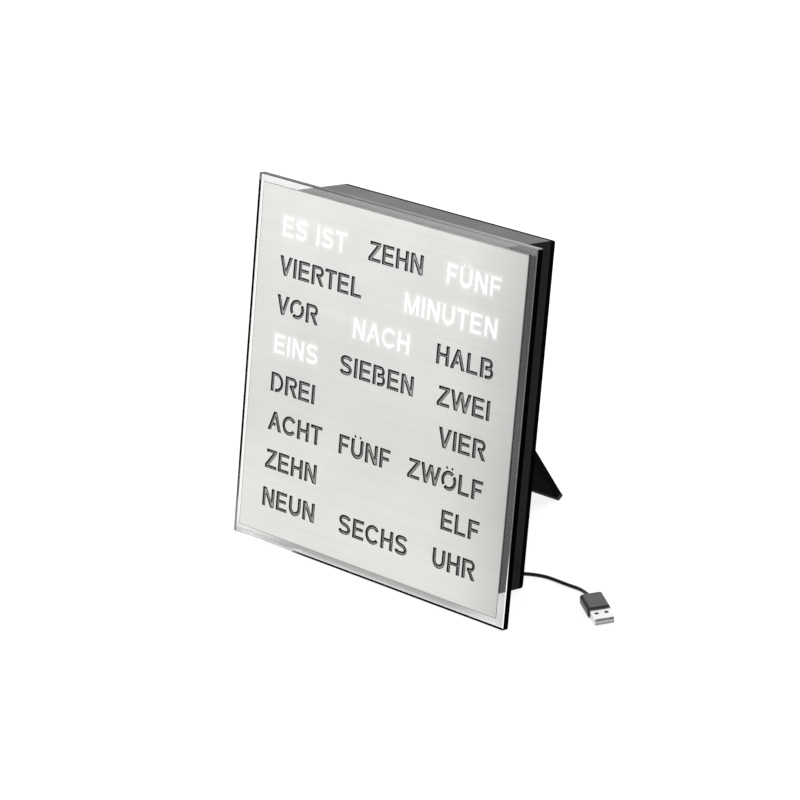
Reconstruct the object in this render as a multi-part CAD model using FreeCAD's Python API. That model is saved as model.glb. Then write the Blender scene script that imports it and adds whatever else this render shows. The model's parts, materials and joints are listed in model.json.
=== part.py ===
"""Word clock: a glass plate with a cut steel face, a light box behind it, a folding stand and a thin lead.

Everything is in millimetres. The pieces are modelled in the plate's own frame, and leant back at the end:
  X to the right as seen from the front, Y backwards from the glass's rear face, Z up from the plate's bottom edge.
The finished part stands on Z = 0, with its origin under the middle of its box (the lead left out).
"""

import FreeCAD, Part
import math
import os

from FreeCAD import Vector

os.makedirs("parts", exist_ok=True)

# ---------------------------------------------------------------- driving sizes
# glass and face
plate_width = 230.0
plate_height = 230.0
glass_thickness = 5.0
glass_arris = 0.4
face_side_margin = 5.6
face_top_margin = 4.4
face_bottom_margin = 6.1
face_thickness = 0.7
film_thickness = 0.2
film_inset = 1.0

# housing
housing_width = 172.4
housing_bottom = 9.7
housing_top_margin = 5.7
housing_depth = 46.3
housing_wall = 2.5
housing_rear_radius = 4.5
housing_edge_radius = 0.8
tape_thickness = 0.5
flange_thickness = 2.5
light_side_rim = 4.0
light_top_rim = 10.0
light_bottom_rim = 8.2
ledge_thickness = 2.5
ledge_width = 5.0
rear_rim = 10.0
cover_thickness = 2.5
cover_gap = 0.25
cover_corner_radius = 3.0
seat_gap = 0.3

# dial words
cap_height = 12.2
stem = 2.7
bar = 2.1
curve_stroke = 2.4
bridge = 1.2
dot_radius = 0.8
dot_rise = 1.5
text_side_margin = 24.5
text_top_margin = 28.2
text_bottom_margin = 29.6
word_space = 6.1

# light box
cell_wall = 1.5
cell_row_reach = 9.3
board_depth = 20.0
board_thickness = 1.6
board_clearance = 0.5
led_size = 5.0
led_height = 1.5
led_pitch = 15.0
chip_size = (7.5, 1.5, 10.3)
link_size = (5.0, 20.4)
link_base_height = 2.3
link_gap = 0.1

# control board, hung from the cover
control_left = -66.0
control_width = 38.0
control_height = 78.0
control_top_margin = 34.3
control_standoff = 6.0
switch_size = 6.0
switch_height = 3.5
plunger_radius = 1.7
plunger_gap = 0.1
plunger_fit = 0.08
plunger_inside = 1.5
button_inset = 11.0
button_drops = (50.0, 34.0, 18.0)
button_radius = 3.3
button_gap = 0.35
button_flange = 1.0
button_flange_thickness = 0.9
button_proud = 1.0
button_travel = 0.8

# fasteners
screw_radius = 1.5
screw_head_radius = 2.8
screw_head_height = 1.8
screw_length = 8.0
screw_fit = 0.05
boss_radius = 3.5
boss_length = 8.0
boss_floor = 1.5

# stand
stand_width = 44.0
stand_thickness = 5.0
stand_length = 143.4
stand_open_angle = 41.5
sole_length = 3.0
sole_flat_depth = 0.5
hinge_height = 140.6
hinge_offset = 6.0
hinge_gap = 0.5
pin_radius = 1.5
pin_fit = 0.05
pin_head_radius = 2.4
pin_head_thickness = 1.0
barrel_radius = 3.8
ear_thickness = 1.5
ear_reach = 4.5
bracket_height = 26.0
bracket_flange_width = 12.0
bracket_hole_spacing = 16.0
bracket_screw_length = 6.0
heel_gap = 0.05

# lead
cord_radius = 1.15
grommet_x = 50.0
grommet_z = 34.0
grommet_radius = 2.6
grommet_flange_radius = 4.2
grommet_flange_thickness = 1.2
grommet_tail_length = 12.0
grommet_tail_radius = 1.7
cord_stop_length = 4.0
cord_stop_radius = 3.4
power_header_size = (6.0, 8.0, 8.0)
coil_centre = (42.7, 67.8)
coil_inner_radius = 7.4
coil_outer_radius = 16.6
coil_floor = 0.7
coil_height = 9.2
tie_thickness = 0.6
tie_width = 4.0
floor_gap = 0.1
plug_grip_size = (14.0, 7.0, 18.0)
plug_shell_size = (12.0, 4.5, 13.0)
plug_shell_wall = 0.4
plug_tongue_thickness = 1.9
plug_turn = -34.0

# ---------------------------------------------------------------- worked-out sizes
film_front = -glass_thickness - film_thickness
face_front = film_front - face_thickness
housing_top = plate_height - housing_top_margin
half_housing = housing_width / 2
inner_half = half_housing - housing_wall
inner_bottom = housing_bottom + housing_wall
inner_top = housing_top - housing_wall
housing_middle = (housing_bottom + housing_top) / 2
light_half = half_housing - light_side_rim
light_bottom = housing_bottom + light_bottom_rim
light_top = housing_top - light_top_rim
ledge_front = housing_depth - cover_thickness - ledge_thickness
cover_half = half_housing - rear_rim
cover_half_height = (housing_top - housing_bottom) / 2 - rear_rim
cover_front = housing_depth - cover_thickness
flange_rear = tape_thickness + flange_thickness
board_front = board_depth
board_rear = board_depth + board_thickness
control_rear = cover_front - control_standoff
control_front = control_rear - board_thickness
control_x = (control_left, control_left + control_width)
control_top = housing_top - control_top_margin
control_z = (control_top - control_height, control_top)
button_x = control_left + button_inset
button_z = [control_top - drop for drop in button_drops]
hinge_y = housing_depth + hinge_offset
open_angle = math.radians(stand_open_angle)
bracket_inner = stand_width / 2 + hinge_gap
text_left = -plate_width / 2 + text_side_margin
text_right = plate_width / 2 - text_side_margin


# ---------------------------------------------------------------- small helpers
def block(x0, x1, y0, y1, z0, z1):
    """A box between two corners."""
    return Part.makeBox(x1 - x0, y1 - y0, z1 - z0, Vector(x0, y0, z0))


def rod_x(radius, x0, x1, y, z):
    return Part.makeCylinder(radius, x1 - x0, Vector(x0, y, z), Vector(1, 0, 0))


def rod_y(radius, x, z, y0, y1):
    return Part.makeCylinder(radius, y1 - y0, Vector(x, y0, z), Vector(0, 1, 0))


def cone_y(radius_front, radius_rear, x, z, y0, y1):
    return Part.makeCone(radius_front, radius_rear, y1 - y0, Vector(x, y0, z), Vector(0, 1, 0))


def joined(solids):
    """One clean solid from several that touch or overlap."""
    first = solids[0]
    if len(solids) == 1:
        return first
    return first.multiFuse(solids[1:]).removeSplitter()


def edges_along(shape, axis):
    """The straight edges that run along one axis."""
    found = []
    for edge in shape.Edges:
        if len(edge.Vertexes) != 2:
            continue
        run = edge.Vertexes[1].Point - edge.Vertexes[0].Point
        if abs(abs(run.dot(axis)) - edge.Length) < 1e-4:
            found.append(edge)
    return found


def edges_on_plane(shape, point, normal):
    """The edges that lie wholly in a plane."""
    found = []
    for edge in shape.Edges:
        ends = [edge.valueAt(edge.FirstParameter), edge.valueAt(edge.LastParameter)]
        if all(abs((end - point).dot(normal)) < 1e-4 for end in ends):
            found.append(edge)
    return found


def pan_screw(x, z, head_seat, length, direction):
    """A pan-head screw along Y; head_seat is where its head bears, direction the way its shank goes."""
    tip = head_seat + direction * length
    top = head_seat - direction * screw_head_height
    shank = rod_y(screw_radius, x, z, min(head_seat, tip), max(head_seat, tip))
    head = rod_y(screw_head_radius, x, z, min(head_seat, top), max(head_seat, top))
    rim = edges_on_plane(head, Vector(x, top, z), Vector(0, 1, 0))
    head = head.makeFillet(screw_head_height / 3, rim)
    slot = screw_head_radius / 5
    reach = screw_head_radius * 0.6
    deep = top + direction * screw_head_height * 0.45
    across = block(x - reach, x + reach, min(top, deep), max(top, deep), z - slot / 2, z + slot / 2)
    upright = block(x - slot / 2, x + slot / 2, min(top, deep), max(top, deep), z - reach, z + reach)
    return joined([shank, head]).cut([across, upright])


def countersunk_screw(x, z, rear_face, length):
    """A countersunk screw driven forwards from a rear face."""
    shank = rod_y(screw_radius, x, z, rear_face - length, rear_face)
    head = cone_y(screw_radius, screw_head_radius, x, z, rear_face - screw_head_height, rear_face)
    slot = screw_head_radius / 5
    reach = screw_head_radius * 0.6
    deep = rear_face - screw_head_height * 0.5
    across = block(x - reach, x + reach, deep, rear_face, z - slot / 2, z + slot / 2)
    upright = block(x - slot / 2, x + slot / 2, deep, rear_face, z - reach, z + reach)
    return joined([shank, head]).cut([across, upright])


# ---------------------------------------------------------------- stencil letters
# A letter is drawn flat, x to the right and y up from its baseline, with its left edge at x = 0.
# Its widths are drawn for a capital 12.2 high, and follow the capital's height.
unit = cap_height / 12.2


def flat(points):
    """A flat face through straight corners."""
    corners = [Vector(x, y, 0) for x, y in points]
    return Part.Face(Part.makePolygon(corners + [corners[0]]))


def rect(x0, y0, x1, y1):
    return flat([(x0, y0), (x1, y0), (x1, y1), (x0, y1)])


def ring(x, y, outer, inner, start, end):
    """Part of a flat ring, from one angle to another, anticlockwise."""
    centre = Vector(x, y, 0)
    up = Vector(0, 0, 1)
    outside = Part.makeCircle(outer, centre, up, start, end)
    inside = Part.makeCircle(inner, centre, up, start, end)
    first = Part.makeLine(inside.valueAt(inside.FirstParameter), outside.valueAt(outside.FirstParameter))
    last = Part.makeLine(outside.valueAt(outside.LastParameter), inside.valueAt(inside.LastParameter))
    return Part.Face(Part.Wire(Part.__sortEdges__([first, outside, last, inside])))


def leg(bottom_x, top_x, width_bottom, width_top, y0, y1):
    """A slanted stroke, given by its left side at the bottom and at the top."""
    return flat(
        [
            (bottom_x, y0),
            (bottom_x + width_bottom, y0),
            (top_x + width_top, y1),
            (top_x, y1),
        ]
    )


def letter_a():
    width = 11.9 * unit
    foot = 2.9 * unit
    peak = (width - stem) / 2
    rise = cap_height * 0.26
    gap_side = width - foot - (width - foot - peak) * rise / cap_height
    left = leg(0, peak, foot, stem, 0, cap_height)
    right = leg(width - foot, peak, foot, stem, 0, cap_height)
    crossbar = rect(foot, rise, gap_side - bridge, rise + bar * 0.9)
    return width, [left, right, crossbar]


def letter_b():
    width = 10.4 * unit
    upper = cap_height * 0.27
    lower = cap_height * 0.295
    middle = 2 * lower - bar
    shift = 0.5 * unit
    faces = [rect(0, 0, stem, cap_height)]
    faces.append(rect(stem, cap_height - bar, width - lower - shift, cap_height))
    faces.append(ring(width - lower - shift, cap_height - upper, upper, upper - bar, -90, 90))
    faces.append(ring(width - lower, lower, lower, lower - bar, -90, 90))
    faces.append(rect(stem + bridge, middle, width - lower, 2 * lower))
    faces.append(rect(stem + bridge, 2 * lower - bar / 2, width - lower - shift, cap_height - 2 * upper + bar))
    faces.append(rect(stem + bridge, 0, width - lower, bar))
    return width, faces


def letter_c():
    radius = cap_height / 2
    opening = 35
    width = radius * (1 + math.cos(math.radians(opening)))
    return width, [ring(radius, radius, radius, radius - curve_stroke, opening, 360 - opening)]


def letter_d():
    width = 10.7 * unit
    radius = cap_height / 2
    centre = width - radius
    faces = [rect(0, 0, stem, cap_height)]
    faces.append(rect(stem, cap_height - bar, centre, cap_height))
    faces.append(ring(centre, radius, radius, radius - bar, -90, 90))
    faces.append(rect(stem + bridge, 0, centre, bar))
    return width, faces


def letter_e():
    width = 9.6 * unit
    middle = (cap_height - bar) / 2 + 0.1 * unit
    faces = [rect(0, 0, stem, cap_height)]
    faces.append(rect(stem, 0, width, bar))
    faces.append(rect(stem, middle, width * 0.91, middle + bar))
    faces.append(rect(stem, cap_height - bar, width * 0.97, cap_height))
    return width, faces


def letter_f():
    width = 8.7 * unit
    middle = (cap_height - bar) / 2
    faces = [rect(0, 0, stem, cap_height)]
    faces.append(rect(stem, middle, width * 0.91, middle + bar))
    faces.append(rect(stem, cap_height - bar, width, cap_height))
    return width, faces


def letter_h():
    width = 10.2 * unit
    middle = (cap_height - bar) / 2 + 0.1 * unit
    faces = [rect(0, 0, stem, cap_height)]
    faces.append(rect(width - stem, 0, width, cap_height))
    faces.append(rect(stem, middle, width - stem, middle + bar))
    return width, faces


def letter_i():
    return stem, [rect(0, 0, stem, cap_height)]


def letter_l():
    width = 8.9 * unit
    return width, [rect(0, 0, stem, cap_height), rect(stem, 0, width, bar)]


def letter_m():
    width = 12.4 * unit
    foot = 2.4 * unit
    left = leg((width - foot) / 2, 0, foot, stem, 0, cap_height)
    right = leg((width - foot) / 2, width - stem, foot, stem, 0, cap_height)
    return width, [rect(0, 0, stem, cap_height), rect(width - stem, 0, width, cap_height), left, right]


def letter_n():
    width = 10.3 * unit
    slope = 3.1 * unit
    diagonal = leg(width - slope, 0, slope, slope, 0, cap_height)
    return width, [rect(0, 0, stem, cap_height), rect(width - stem, 0, width, cap_height), diagonal]


def letter_o():
    radius = cap_height / 2
    half_gap = math.degrees(bridge / (2 * radius - curve_stroke))
    faces = []
    for start in (45, 225):
        faces.append(ring(radius, radius, radius, radius - curve_stroke, start + half_gap, start + 180 - half_gap))
    return 2 * radius, faces


def letter_r():
    width = 10.8 * unit
    bowl = cap_height * 0.287
    middle = cap_height - 2 * bowl
    centre = width - bowl - 0.7 * unit
    foot = 3.0 * unit
    faces = [rect(0, 0, stem, cap_height)]
    faces.append(rect(stem, cap_height - bar, centre, cap_height))
    faces.append(ring(centre, cap_height - bowl, bowl, bowl - bar, -90, 90))
    faces.append(rect(stem + bridge, middle, centre, middle + bar))
    faces.append(leg(width - foot, stem + bridge, foot, foot, 0, middle + bar / 2))
    return width, faces


def letter_s():
    """A ribbon of even width along a smooth line."""
    width = 10.3 * unit
    half = curve_stroke / 2
    points = [
        (9.1, 9.5),
        (7.6, 10.75),
        (5.2, 11.0),
        (2.7, 10.6),
        (1.5, 9.0),
        (2.3, 7.3),
        (5.15, 6.2),
        (8.2, 5.0),
        (9.1, 3.2),
        (7.8, 1.6),
        (5.1, 1.2),
        (2.5, 1.55),
        (1.2, 2.9),
    ]
    line = Part.BSplineCurve()
    line.interpolate([Vector(x, y, 0) * unit for x, y in points])
    first, last = line.FirstParameter, line.LastParameter
    stations = [first + (last - first) * i / 30 for i in range(31)]
    left = []
    right = []
    for t in stations:
        along = line.tangent(t)[0]
        aside = Vector(-along.y, along.x, 0) * half
        left.append(line.value(t) + aside)
        right.append(line.value(t) - aside)
    right.reverse()
    left_side = Part.BSplineCurve()
    left_side.interpolate(left)
    right_side = Part.BSplineCurve()
    right_side.interpolate(right)
    sides = [left_side.toShape(), Part.makeLine(left[-1], right[0])]
    sides += [right_side.toShape(), Part.makeLine(right[-1], left[0])]
    return width, [Part.Face(Part.Wire(sides))]


def letter_t():
    width = 9.9 * unit
    middle = (width - stem) / 2
    return width, [rect(0, cap_height - bar, width, cap_height), rect(middle, 0, middle + stem, cap_height)]


def letter_u():
    width = 10.3 * unit
    radius = width / 2
    faces = [rect(0, radius, stem, cap_height), rect(width - stem, radius, width, cap_height)]
    faces.append(ring(radius, radius, radius, radius - stem, 180, 360))
    return width, faces


def letter_v():
    width = 10.9 * unit
    foot = stem
    top = stem + 0.2 * unit
    left = leg((width - foot) / 2, 0, foot, top, 0, cap_height)
    right = leg((width - foot) / 2, width - top, foot, top, 0, cap_height)
    return width, [left, right]


def letter_w():
    width = 16.4 * unit
    foot = stem
    inner = width / 2 - stem / 2
    left_foot = 3.2 * unit
    faces = []
    for base in (left_foot, width - left_foot - foot):
        outer_top = 0 if base == left_foot else width - stem
        faces.append(leg(base, outer_top, foot, stem, 0, cap_height))
        faces.append(leg(base, inner, foot, stem, 0, cap_height))
    return width, faces


def letter_z():
    width = 10.2 * unit
    top_left = 0.9 * unit
    top_right = 0.3 * unit
    slope = 3.6 * unit
    faces = [rect(0, 0, width, bar), rect(top_left, cap_height - bar, width - top_right, cap_height)]
    faces.append(leg(0, width - top_right - slope, slope, slope, bar, cap_height - bar))
    return width, faces


def dots(width):
    """The two dots over an umlaut."""
    centre_y = cap_height + dot_rise
    return [
        Part.Face(Part.Wire(Part.makeCircle(dot_radius, Vector(width / 2 + side * 2.2 * unit, centre_y, 0))))
        for side in (-1, 1)
    ]


# name: (drawing, room on its left, room on its right)
LETTERS = {
    "A": (letter_a, 0.3, 0.3),
    "B": (letter_b, 0.9, 0.9),
    "C": (letter_c, 0.4, 1.1),
    "D": (letter_d, 0.9, 0.9),
    "E": (letter_e, 0.9, 0.8),
    "F": (letter_f, 0.9, 0.8),
    "H": (letter_h, 0.9, 0.9),
    "I": (letter_i, 0.9, 0.9),
    "L": (letter_l, 0.9, 0.9),
    "M": (letter_m, 0.9, 0.9),
    "N": (letter_n, 0.9, 0.9),
    "O": (letter_o, 0.4, 0.8),
    "R": (letter_r, 0.9, 0.1),
    "S": (letter_s, 0.7, 0.9),
    "T": (letter_t, 0.4, 0.3),
    "U": (letter_u, 0.9, 0.9),
    "V": (letter_v, 0.3, 0.3),
    "W": (letter_w, 0.2, 0.2),
    "Z": (letter_z, 0.3, 0.3),
}
UMLAUTS = {"Ö": "O", "Ü": "U"}

# each row from the left: (word, shift from its usual place)
ROWS = [
    [("ES IST", 0.0), ("ZEHN", 0.0), ("FÜNF", 0.0)],
    [("VIERTEL", 0.0), ("MINUTEN", 0.0)],
    [("VOR", 0.0), ("NACH", 3.5), ("HALB", 0.0)],
    [("EINS", 0.0), ("SIEBEN", 0.0), ("ZWEI", 0.0)],
    [("DREI", 0.0), ("VIER", 0.0)],
    [("ACHT", 0.0), ("FÜNF", 0.0), ("ZWÖLF", 0.0)],
    [("ZEHN", 0.0), ("ELF", 0.0)],
    [("NEUN", 0.0), ("SECHS", 0.0), ("UHR", 0.0)],
]


def letter_room(letter):
    """(left room, width, right room) of one letter."""
    draw, left, right = LETTERS[UMLAUTS.get(letter, letter)]
    return left * unit, draw()[0], right * unit


def word_width(word):
    """A word's length from the first letter's left side to the last letter's right side."""
    total = 0.0
    for letter in word:
        total += word_space if letter == " " else sum(letter_room(letter))
    return total - letter_room(word[0])[0] - letter_room(word[-1])[2]


def row_words(row):
    """(word, left end) of each word: the first at the left margin, the last at the right, others between."""
    starts = [text_left, text_right - word_width(row[-1][0])]
    if len(row) == 3:
        gap_left = text_left + word_width(row[0][0])
        middle = (gap_left + starts[1]) / 2
        starts.insert(1, middle - word_width(row[1][0]) / 2)
    return [(word, start + shift) for (word, shift), start in zip(row, starts)]


def row_middle(index):
    """Height of a row's middle, with the rows evenly spread between the top and the bottom margin."""
    pitch = (plate_height - text_top_margin - text_bottom_margin) / (len(ROWS) - 1)
    return plate_height - text_top_margin - index * pitch


letter_solids = {}


def letter_solid(letter, depth):
    """A letter as an upright solid: x to the right, z up, and y from 0 to depth."""
    if letter not in letter_solids:
        base = UMLAUTS.get(letter, letter)
        width, faces = LETTERS[base][0]()
        if letter in UMLAUTS:
            faces = faces + dots(width)
        solids = [face.extrude(Vector(0, 0, -depth)) for face in faces]
        solid = joined(solids)
        solid.rotate(Vector(0, 0, 0), Vector(1, 0, 0), 90)
        letter_solids[letter] = solid
    return letter_solids[letter].copy()


def dial_cutters(front, depth):
    """Every letter of every word, as solids that cut through the face."""
    cutters = []
    for index, row in enumerate(ROWS):
        baseline = row_middle(index) - cap_height / 2
        for word, start in row_words(row):
            pen = start - letter_room(word[0])[0]
            for letter in word:
                if letter == " ":
                    pen += word_space
                    continue
                left, width, right = letter_room(letter)
                solid = letter_solid(letter, depth)
                solid.translate(Vector(pen + left, front, baseline))
                cutters.append(solid)
                pen += left + width + right
    return cutters


# ---------------------------------------------------------------- glass, film and face
def glass_plate():
    plate = block(-plate_width / 2, plate_width / 2, -glass_thickness, 0, 0, plate_height)
    return plate.makeChamfer(glass_arris, plate.Edges)


def face_sheet(front, thickness, inset):
    """A sheet over the face's area, smaller all round by the inset."""
    half = plate_width / 2 - face_side_margin - inset
    low = face_bottom_margin + inset
    high = plate_height - face_top_margin - inset
    return block(-half, half, front, front + thickness, low, high)


def face_plate():
    overrun = 0.5
    sheet = face_sheet(face_front, face_thickness, 0)
    return sheet.cut(dial_cutters(face_front - overrun, face_thickness + 2 * overrun))


def diffuser_film():
    return face_sheet(film_front, film_thickness, film_inset)


def bonding_tape():
    inset = 0.5
    outer = block(
        -half_housing + inset,
        half_housing - inset,
        0,
        tape_thickness,
        housing_bottom + inset,
        housing_top - inset,
    )
    return outer.cut(block(-light_half, light_half, -1, tape_thickness + 1, light_bottom, light_top))


# ---------------------------------------------------------------- housing
def cover_screw_places():
    inset = ledge_width - 1.0
    x = cover_half - inset
    z = cover_half_height - inset
    return [(sx * x, housing_middle + sz * z) for sx in (-1, 1) for sz in (-1, 0, 1)]


def board_post_places():
    """(x, low z, high z) of the posts that carry the light board, above and below the baffles."""
    edges = cell_edges()
    places = []
    for x in (-inner_half + boss_radius, 0.0, inner_half - boss_radius):
        places.append((x, edges[0] + seat_gap, inner_top))
        places.append((x, inner_bottom, edges[-1] - seat_gap))
    return places


def post_screw_z(low, high):
    return (low + high) / 2


def housing():
    outer = block(
        -half_housing, half_housing, tape_thickness, housing_depth, housing_bottom, housing_top
    )
    rear = edges_on_plane(outer, Vector(0, housing_depth, 0), Vector(0, 1, 0))
    outer = outer.makeFillet(housing_rear_radius, rear)
    depth_edges = edges_along(outer, Vector(0, 1, 0))
    outer = outer.makeFillet(housing_edge_radius, depth_edges)
    inside = block(-inner_half, inner_half, flange_rear, ledge_front, inner_bottom, inner_top)
    window = block(-light_half, light_half, 0, flange_rear + 1, light_bottom, light_top)
    opening_half = cover_half - ledge_width
    opening_height = cover_half_height - ledge_width
    opening = block(
        -opening_half,
        opening_half,
        ledge_front - 1,
        housing_depth,
        housing_middle - opening_height,
        housing_middle + opening_height,
    )
    seat = cover_blank(cover_gap, cover_front, housing_depth + 1)
    shell = outer.cut([inside, window, opening, seat])
    posts = []
    for x, low, high in board_post_places():
        overlap_low = low - (0.5 if low == inner_bottom else 0)
        overlap_high = high + (0.5 if high == inner_top else 0)
        posts.append(
            block(x - boss_radius, x + boss_radius, flange_rear - 0.5, board_front, overlap_low, overlap_high)
        )
    bosses = []
    for x, z in cover_screw_places():
        bosses.append(rod_y(boss_radius, x, z, ledge_front - boss_length, cover_front))
    shell = joined([shell] + posts + bosses)
    holes = []
    for x, low, high in board_post_places():
        holes.append(
            rod_y(screw_radius + screw_fit, x, post_screw_z(low, high), board_front - screw_length, board_front + 1)
        )
    for x, z in cover_screw_places():
        deep = housing_depth - screw_length - cover_thickness - 1
        holes.append(rod_y(screw_radius + screw_fit, x, z, deep, cover_front + 1))
    return shell.cut(holes)


def cover_blank(growth, front, rear):
    """The cover's outline with its rounded corners, grown by a clearance."""
    blank = block(
        -cover_half - growth,
        cover_half + growth,
        front,
        rear,
        housing_middle - cover_half_height - growth,
        housing_middle + cover_half_height + growth,
    )
    return blank.makeFillet(cover_corner_radius, edges_along(blank, Vector(0, 1, 0)))


def bracket_screw_places():
    x = bracket_inner + ear_thickness + bracket_flange_width / 2
    places = []
    for side in (-1, 1):
        for step in (-0.5, 0.5):
            places.append((side * x, hinge_height + step * bracket_hole_spacing))
    return places


def bracket_screw_tip():
    return housing_depth + ear_thickness - bracket_screw_length


def control_screw_places():
    inset = boss_radius + 0.5
    return [
        (x, z)
        for x in (control_x[0] + inset, control_x[1] - inset)
        for z in (control_z[0] + inset, control_z[1] - inset)
    ]


def rear_cover():
    plate = cover_blank(0, cover_front, housing_depth)
    bosses = []
    for x, z in bracket_screw_places():
        bosses.append(rod_y(boss_radius, x, z, bracket_screw_tip() - boss_floor, cover_front + 0.5))
    for x, z in control_screw_places():
        bosses.append(rod_y(boss_radius - 0.5, x, z, control_rear, cover_front + 0.5))
    plate = joined([plate] + bosses)
    cuts = []
    for x, z in cover_screw_places():
        cuts.append(rod_y(screw_radius + 2 * screw_fit, x, z, cover_front - 1, housing_depth + 1))
        seat_front = housing_depth - screw_head_height
        cuts.append(
            cone_y(
                screw_radius + screw_fit, screw_head_radius + screw_fit, x, z, seat_front, housing_depth
            )
        )
    for x, z in bracket_screw_places():
        cuts.append(rod_y(screw_radius + screw_fit, x, z, bracket_screw_tip() - 0.5, housing_depth + 1))
    for x, z in control_screw_places():
        cuts.append(rod_y(screw_radius + screw_fit, x, z, control_rear - 1, cover_front))
    for z in button_z:
        cuts.append(rod_y(button_radius + button_gap, button_x, z, cover_front - 1, housing_depth + 1))
    cuts.append(rod_y(grommet_radius, grommet_x, grommet_z, cover_front - 1, housing_depth + 1))
    return plate.cut(cuts)


def cover_screws():
    return [countersunk_screw(x, z, housing_depth, screw_length + cover_thickness) for x, z in cover_screw_places()]


# ---------------------------------------------------------------- light box
def cell_edges():
    """Heights of the walls between rows, with the top and the bottom wall."""
    top = row_middle(0) + cell_row_reach
    bottom = row_middle(len(ROWS) - 1) - cell_row_reach
    between = [(row_middle(i) + row_middle(i + 1)) / 2 for i in range(len(ROWS) - 1)]
    return [top] + between + [bottom]


def baffle_grid():
    edges = cell_edges()
    half = light_half - seat_gap
    front = tape_thickness
    grid = block(-half, half, front, board_front, edges[-1], edges[0])
    cells = []
    for index, row in enumerate(ROWS):
        words = row_words(row)
        dividers = [-half + cell_wall / 2]
        for (word, start), (_, next_start) in zip(words, words[1:]):
            dividers.append((start + word_width(word) + next_start) / 2)
        dividers.append(half - cell_wall / 2)
        low = edges[index + 1] + cell_wall / 2
        high = edges[index] - cell_wall / 2
        for left, right in zip(dividers, dividers[1:]):
            cells.append(
                block(left + cell_wall / 2, right - cell_wall / 2, front - 1, board_front + 1, low, high)
            )
    return grid.cut(cells)


def led_board():
    half = inner_half - board_clearance
    board = block(
        -half, half, board_front, board_rear, inner_bottom + board_clearance, inner_top - board_clearance
    )
    holes = []
    for x, low, high in board_post_places():
        holes.append(rod_y(screw_radius + screw_fit, x, post_screw_z(low, high), board_front - 1, board_rear + 1))
    return board.cut(holes)


def leds():
    """A row of lamps behind each word, kept inside the light window."""
    found = []
    reach = light_half - cell_wall - led_size
    for index, row in enumerate(ROWS):
        for word, start in row_words(row):
            width = word_width(word)
            count = max(2, round(width / led_pitch))
            for step in range(count):
                x = start + width * (step + 0.5) / count
                x = max(-reach, min(reach, x))
                z = row_middle(index)
                body = block(
                    x - led_size / 2,
                    x + led_size / 2,
                    board_front - led_height,
                    board_front,
                    z - led_size / 2,
                    z + led_size / 2,
                )
                dish = rod_y(led_size * 0.4, x, z, board_front - led_height - 1, board_front - led_height * 0.7)
                found.append(body.cut(dish))
    return found


def led_board_screws():
    return [
        pan_screw(x, post_screw_z(low, high), board_rear, screw_length, -1)
        for x, low, high in board_post_places()
    ]


def driver_chips():
    width, height, length = chip_size
    found = []
    for index in (1, 3, 5):
        z = row_middle(index)
        found.append(block(-width / 2, width / 2, board_rear, board_rear + height, z - length / 2, z + length / 2))
    return found


def link_place():
    """Middle of the connector that joins the two boards."""
    return control_x[1] - link_size[0] - 1.0, (control_z[0] + control_z[1]) / 2


def link_socket_rear():
    return control_front - link_base_height - link_gap


def link_socket():
    x, z = link_place()
    rear = link_socket_rear()
    body = block(x - link_size[0] / 2, x + link_size[0] / 2, board_rear, rear, z - link_size[1] / 2, z + link_size[1] / 2)
    holes = [block(px - 0.4, px + 0.4, rear - 6.5, rear + 1, pz - 0.4, pz + 0.4) for px, pz in link_pin_places()]
    return body.cut(holes)


def link_pin_places():
    x, z = link_place()
    pitch = 2.54
    return [(x + side * pitch / 2, z + (step - 3.5) * pitch) for side in (-1, 1) for step in range(8)]


def link_pins():
    x, z = link_place()
    front = link_socket_rear() + link_gap
    base = block(x - link_size[0] / 2, x + link_size[0] / 2, front, control_front, z - link_size[1] / 2, z + link_size[1] / 2)
    pins = [block(px - 0.3, px + 0.3, front - 6.0, front, pz - 0.3, pz + 0.3) for px, pz in link_pin_places()]
    return joined([base] + pins)


def power_header():
    width, depth, height = power_header_size
    body = block(
        grommet_x - width / 2,
        grommet_x + width / 2,
        board_rear,
        board_rear + depth,
        grommet_z - height / 2,
        grommet_z + height / 2,
    )
    return body


# ---------------------------------------------------------------- control board
def control_board():
    board = block(control_x[0], control_x[1], control_front, control_rear, control_z[0], control_z[1])
    holes = [rod_y(screw_radius + screw_fit, x, z, control_front - 1, control_rear + 1) for x, z in control_screw_places()]
    return board.cut(holes)


def control_board_screws():
    return [pan_screw(x, z, control_front, screw_length - 1, 1) for x, z in control_screw_places()]


def microcontroller():
    side = 10.0
    x = control_x[1] - 15.0
    z = control_z[1] - 24.0
    body = block(x - side / 2, x + side / 2, control_rear + 0.1, control_rear + 1.5, z - side / 2, z + side / 2)
    feet = []
    for step in range(8):
        at = (step - 3.5) * 1.0
        feet.append(block(x - side / 2 - 1, x + side / 2 + 1, control_rear, control_rear + 0.3, z + at - 0.2, z + at + 0.2))
        feet.append(block(x + at - 0.2, x + at + 0.2, control_rear, control_rear + 0.3, z - side / 2 - 1, z + side / 2 + 1))
    return joined([body] + feet)


def clock_crystal():
    x = control_x[1] - 15.0
    z = control_z[1] - 38.0
    can = Part.makeCylinder(1.5, 8.0, Vector(x - 4, control_rear + 1.5, z), Vector(1, 0, 0))
    return can.makeFillet(0.3, can.Edges[0:1])


def capacitor():
    x = control_x[0] + 14.0
    z = control_z[1] - 12.0
    return rod_y(3.15, x, z, control_front - 7.0, control_front)


cell_radius = 10.0
cell_thickness = 3.2
cell_x = control_x[0] + 16.0
cell_z = control_z[0] + 22.0


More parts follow.
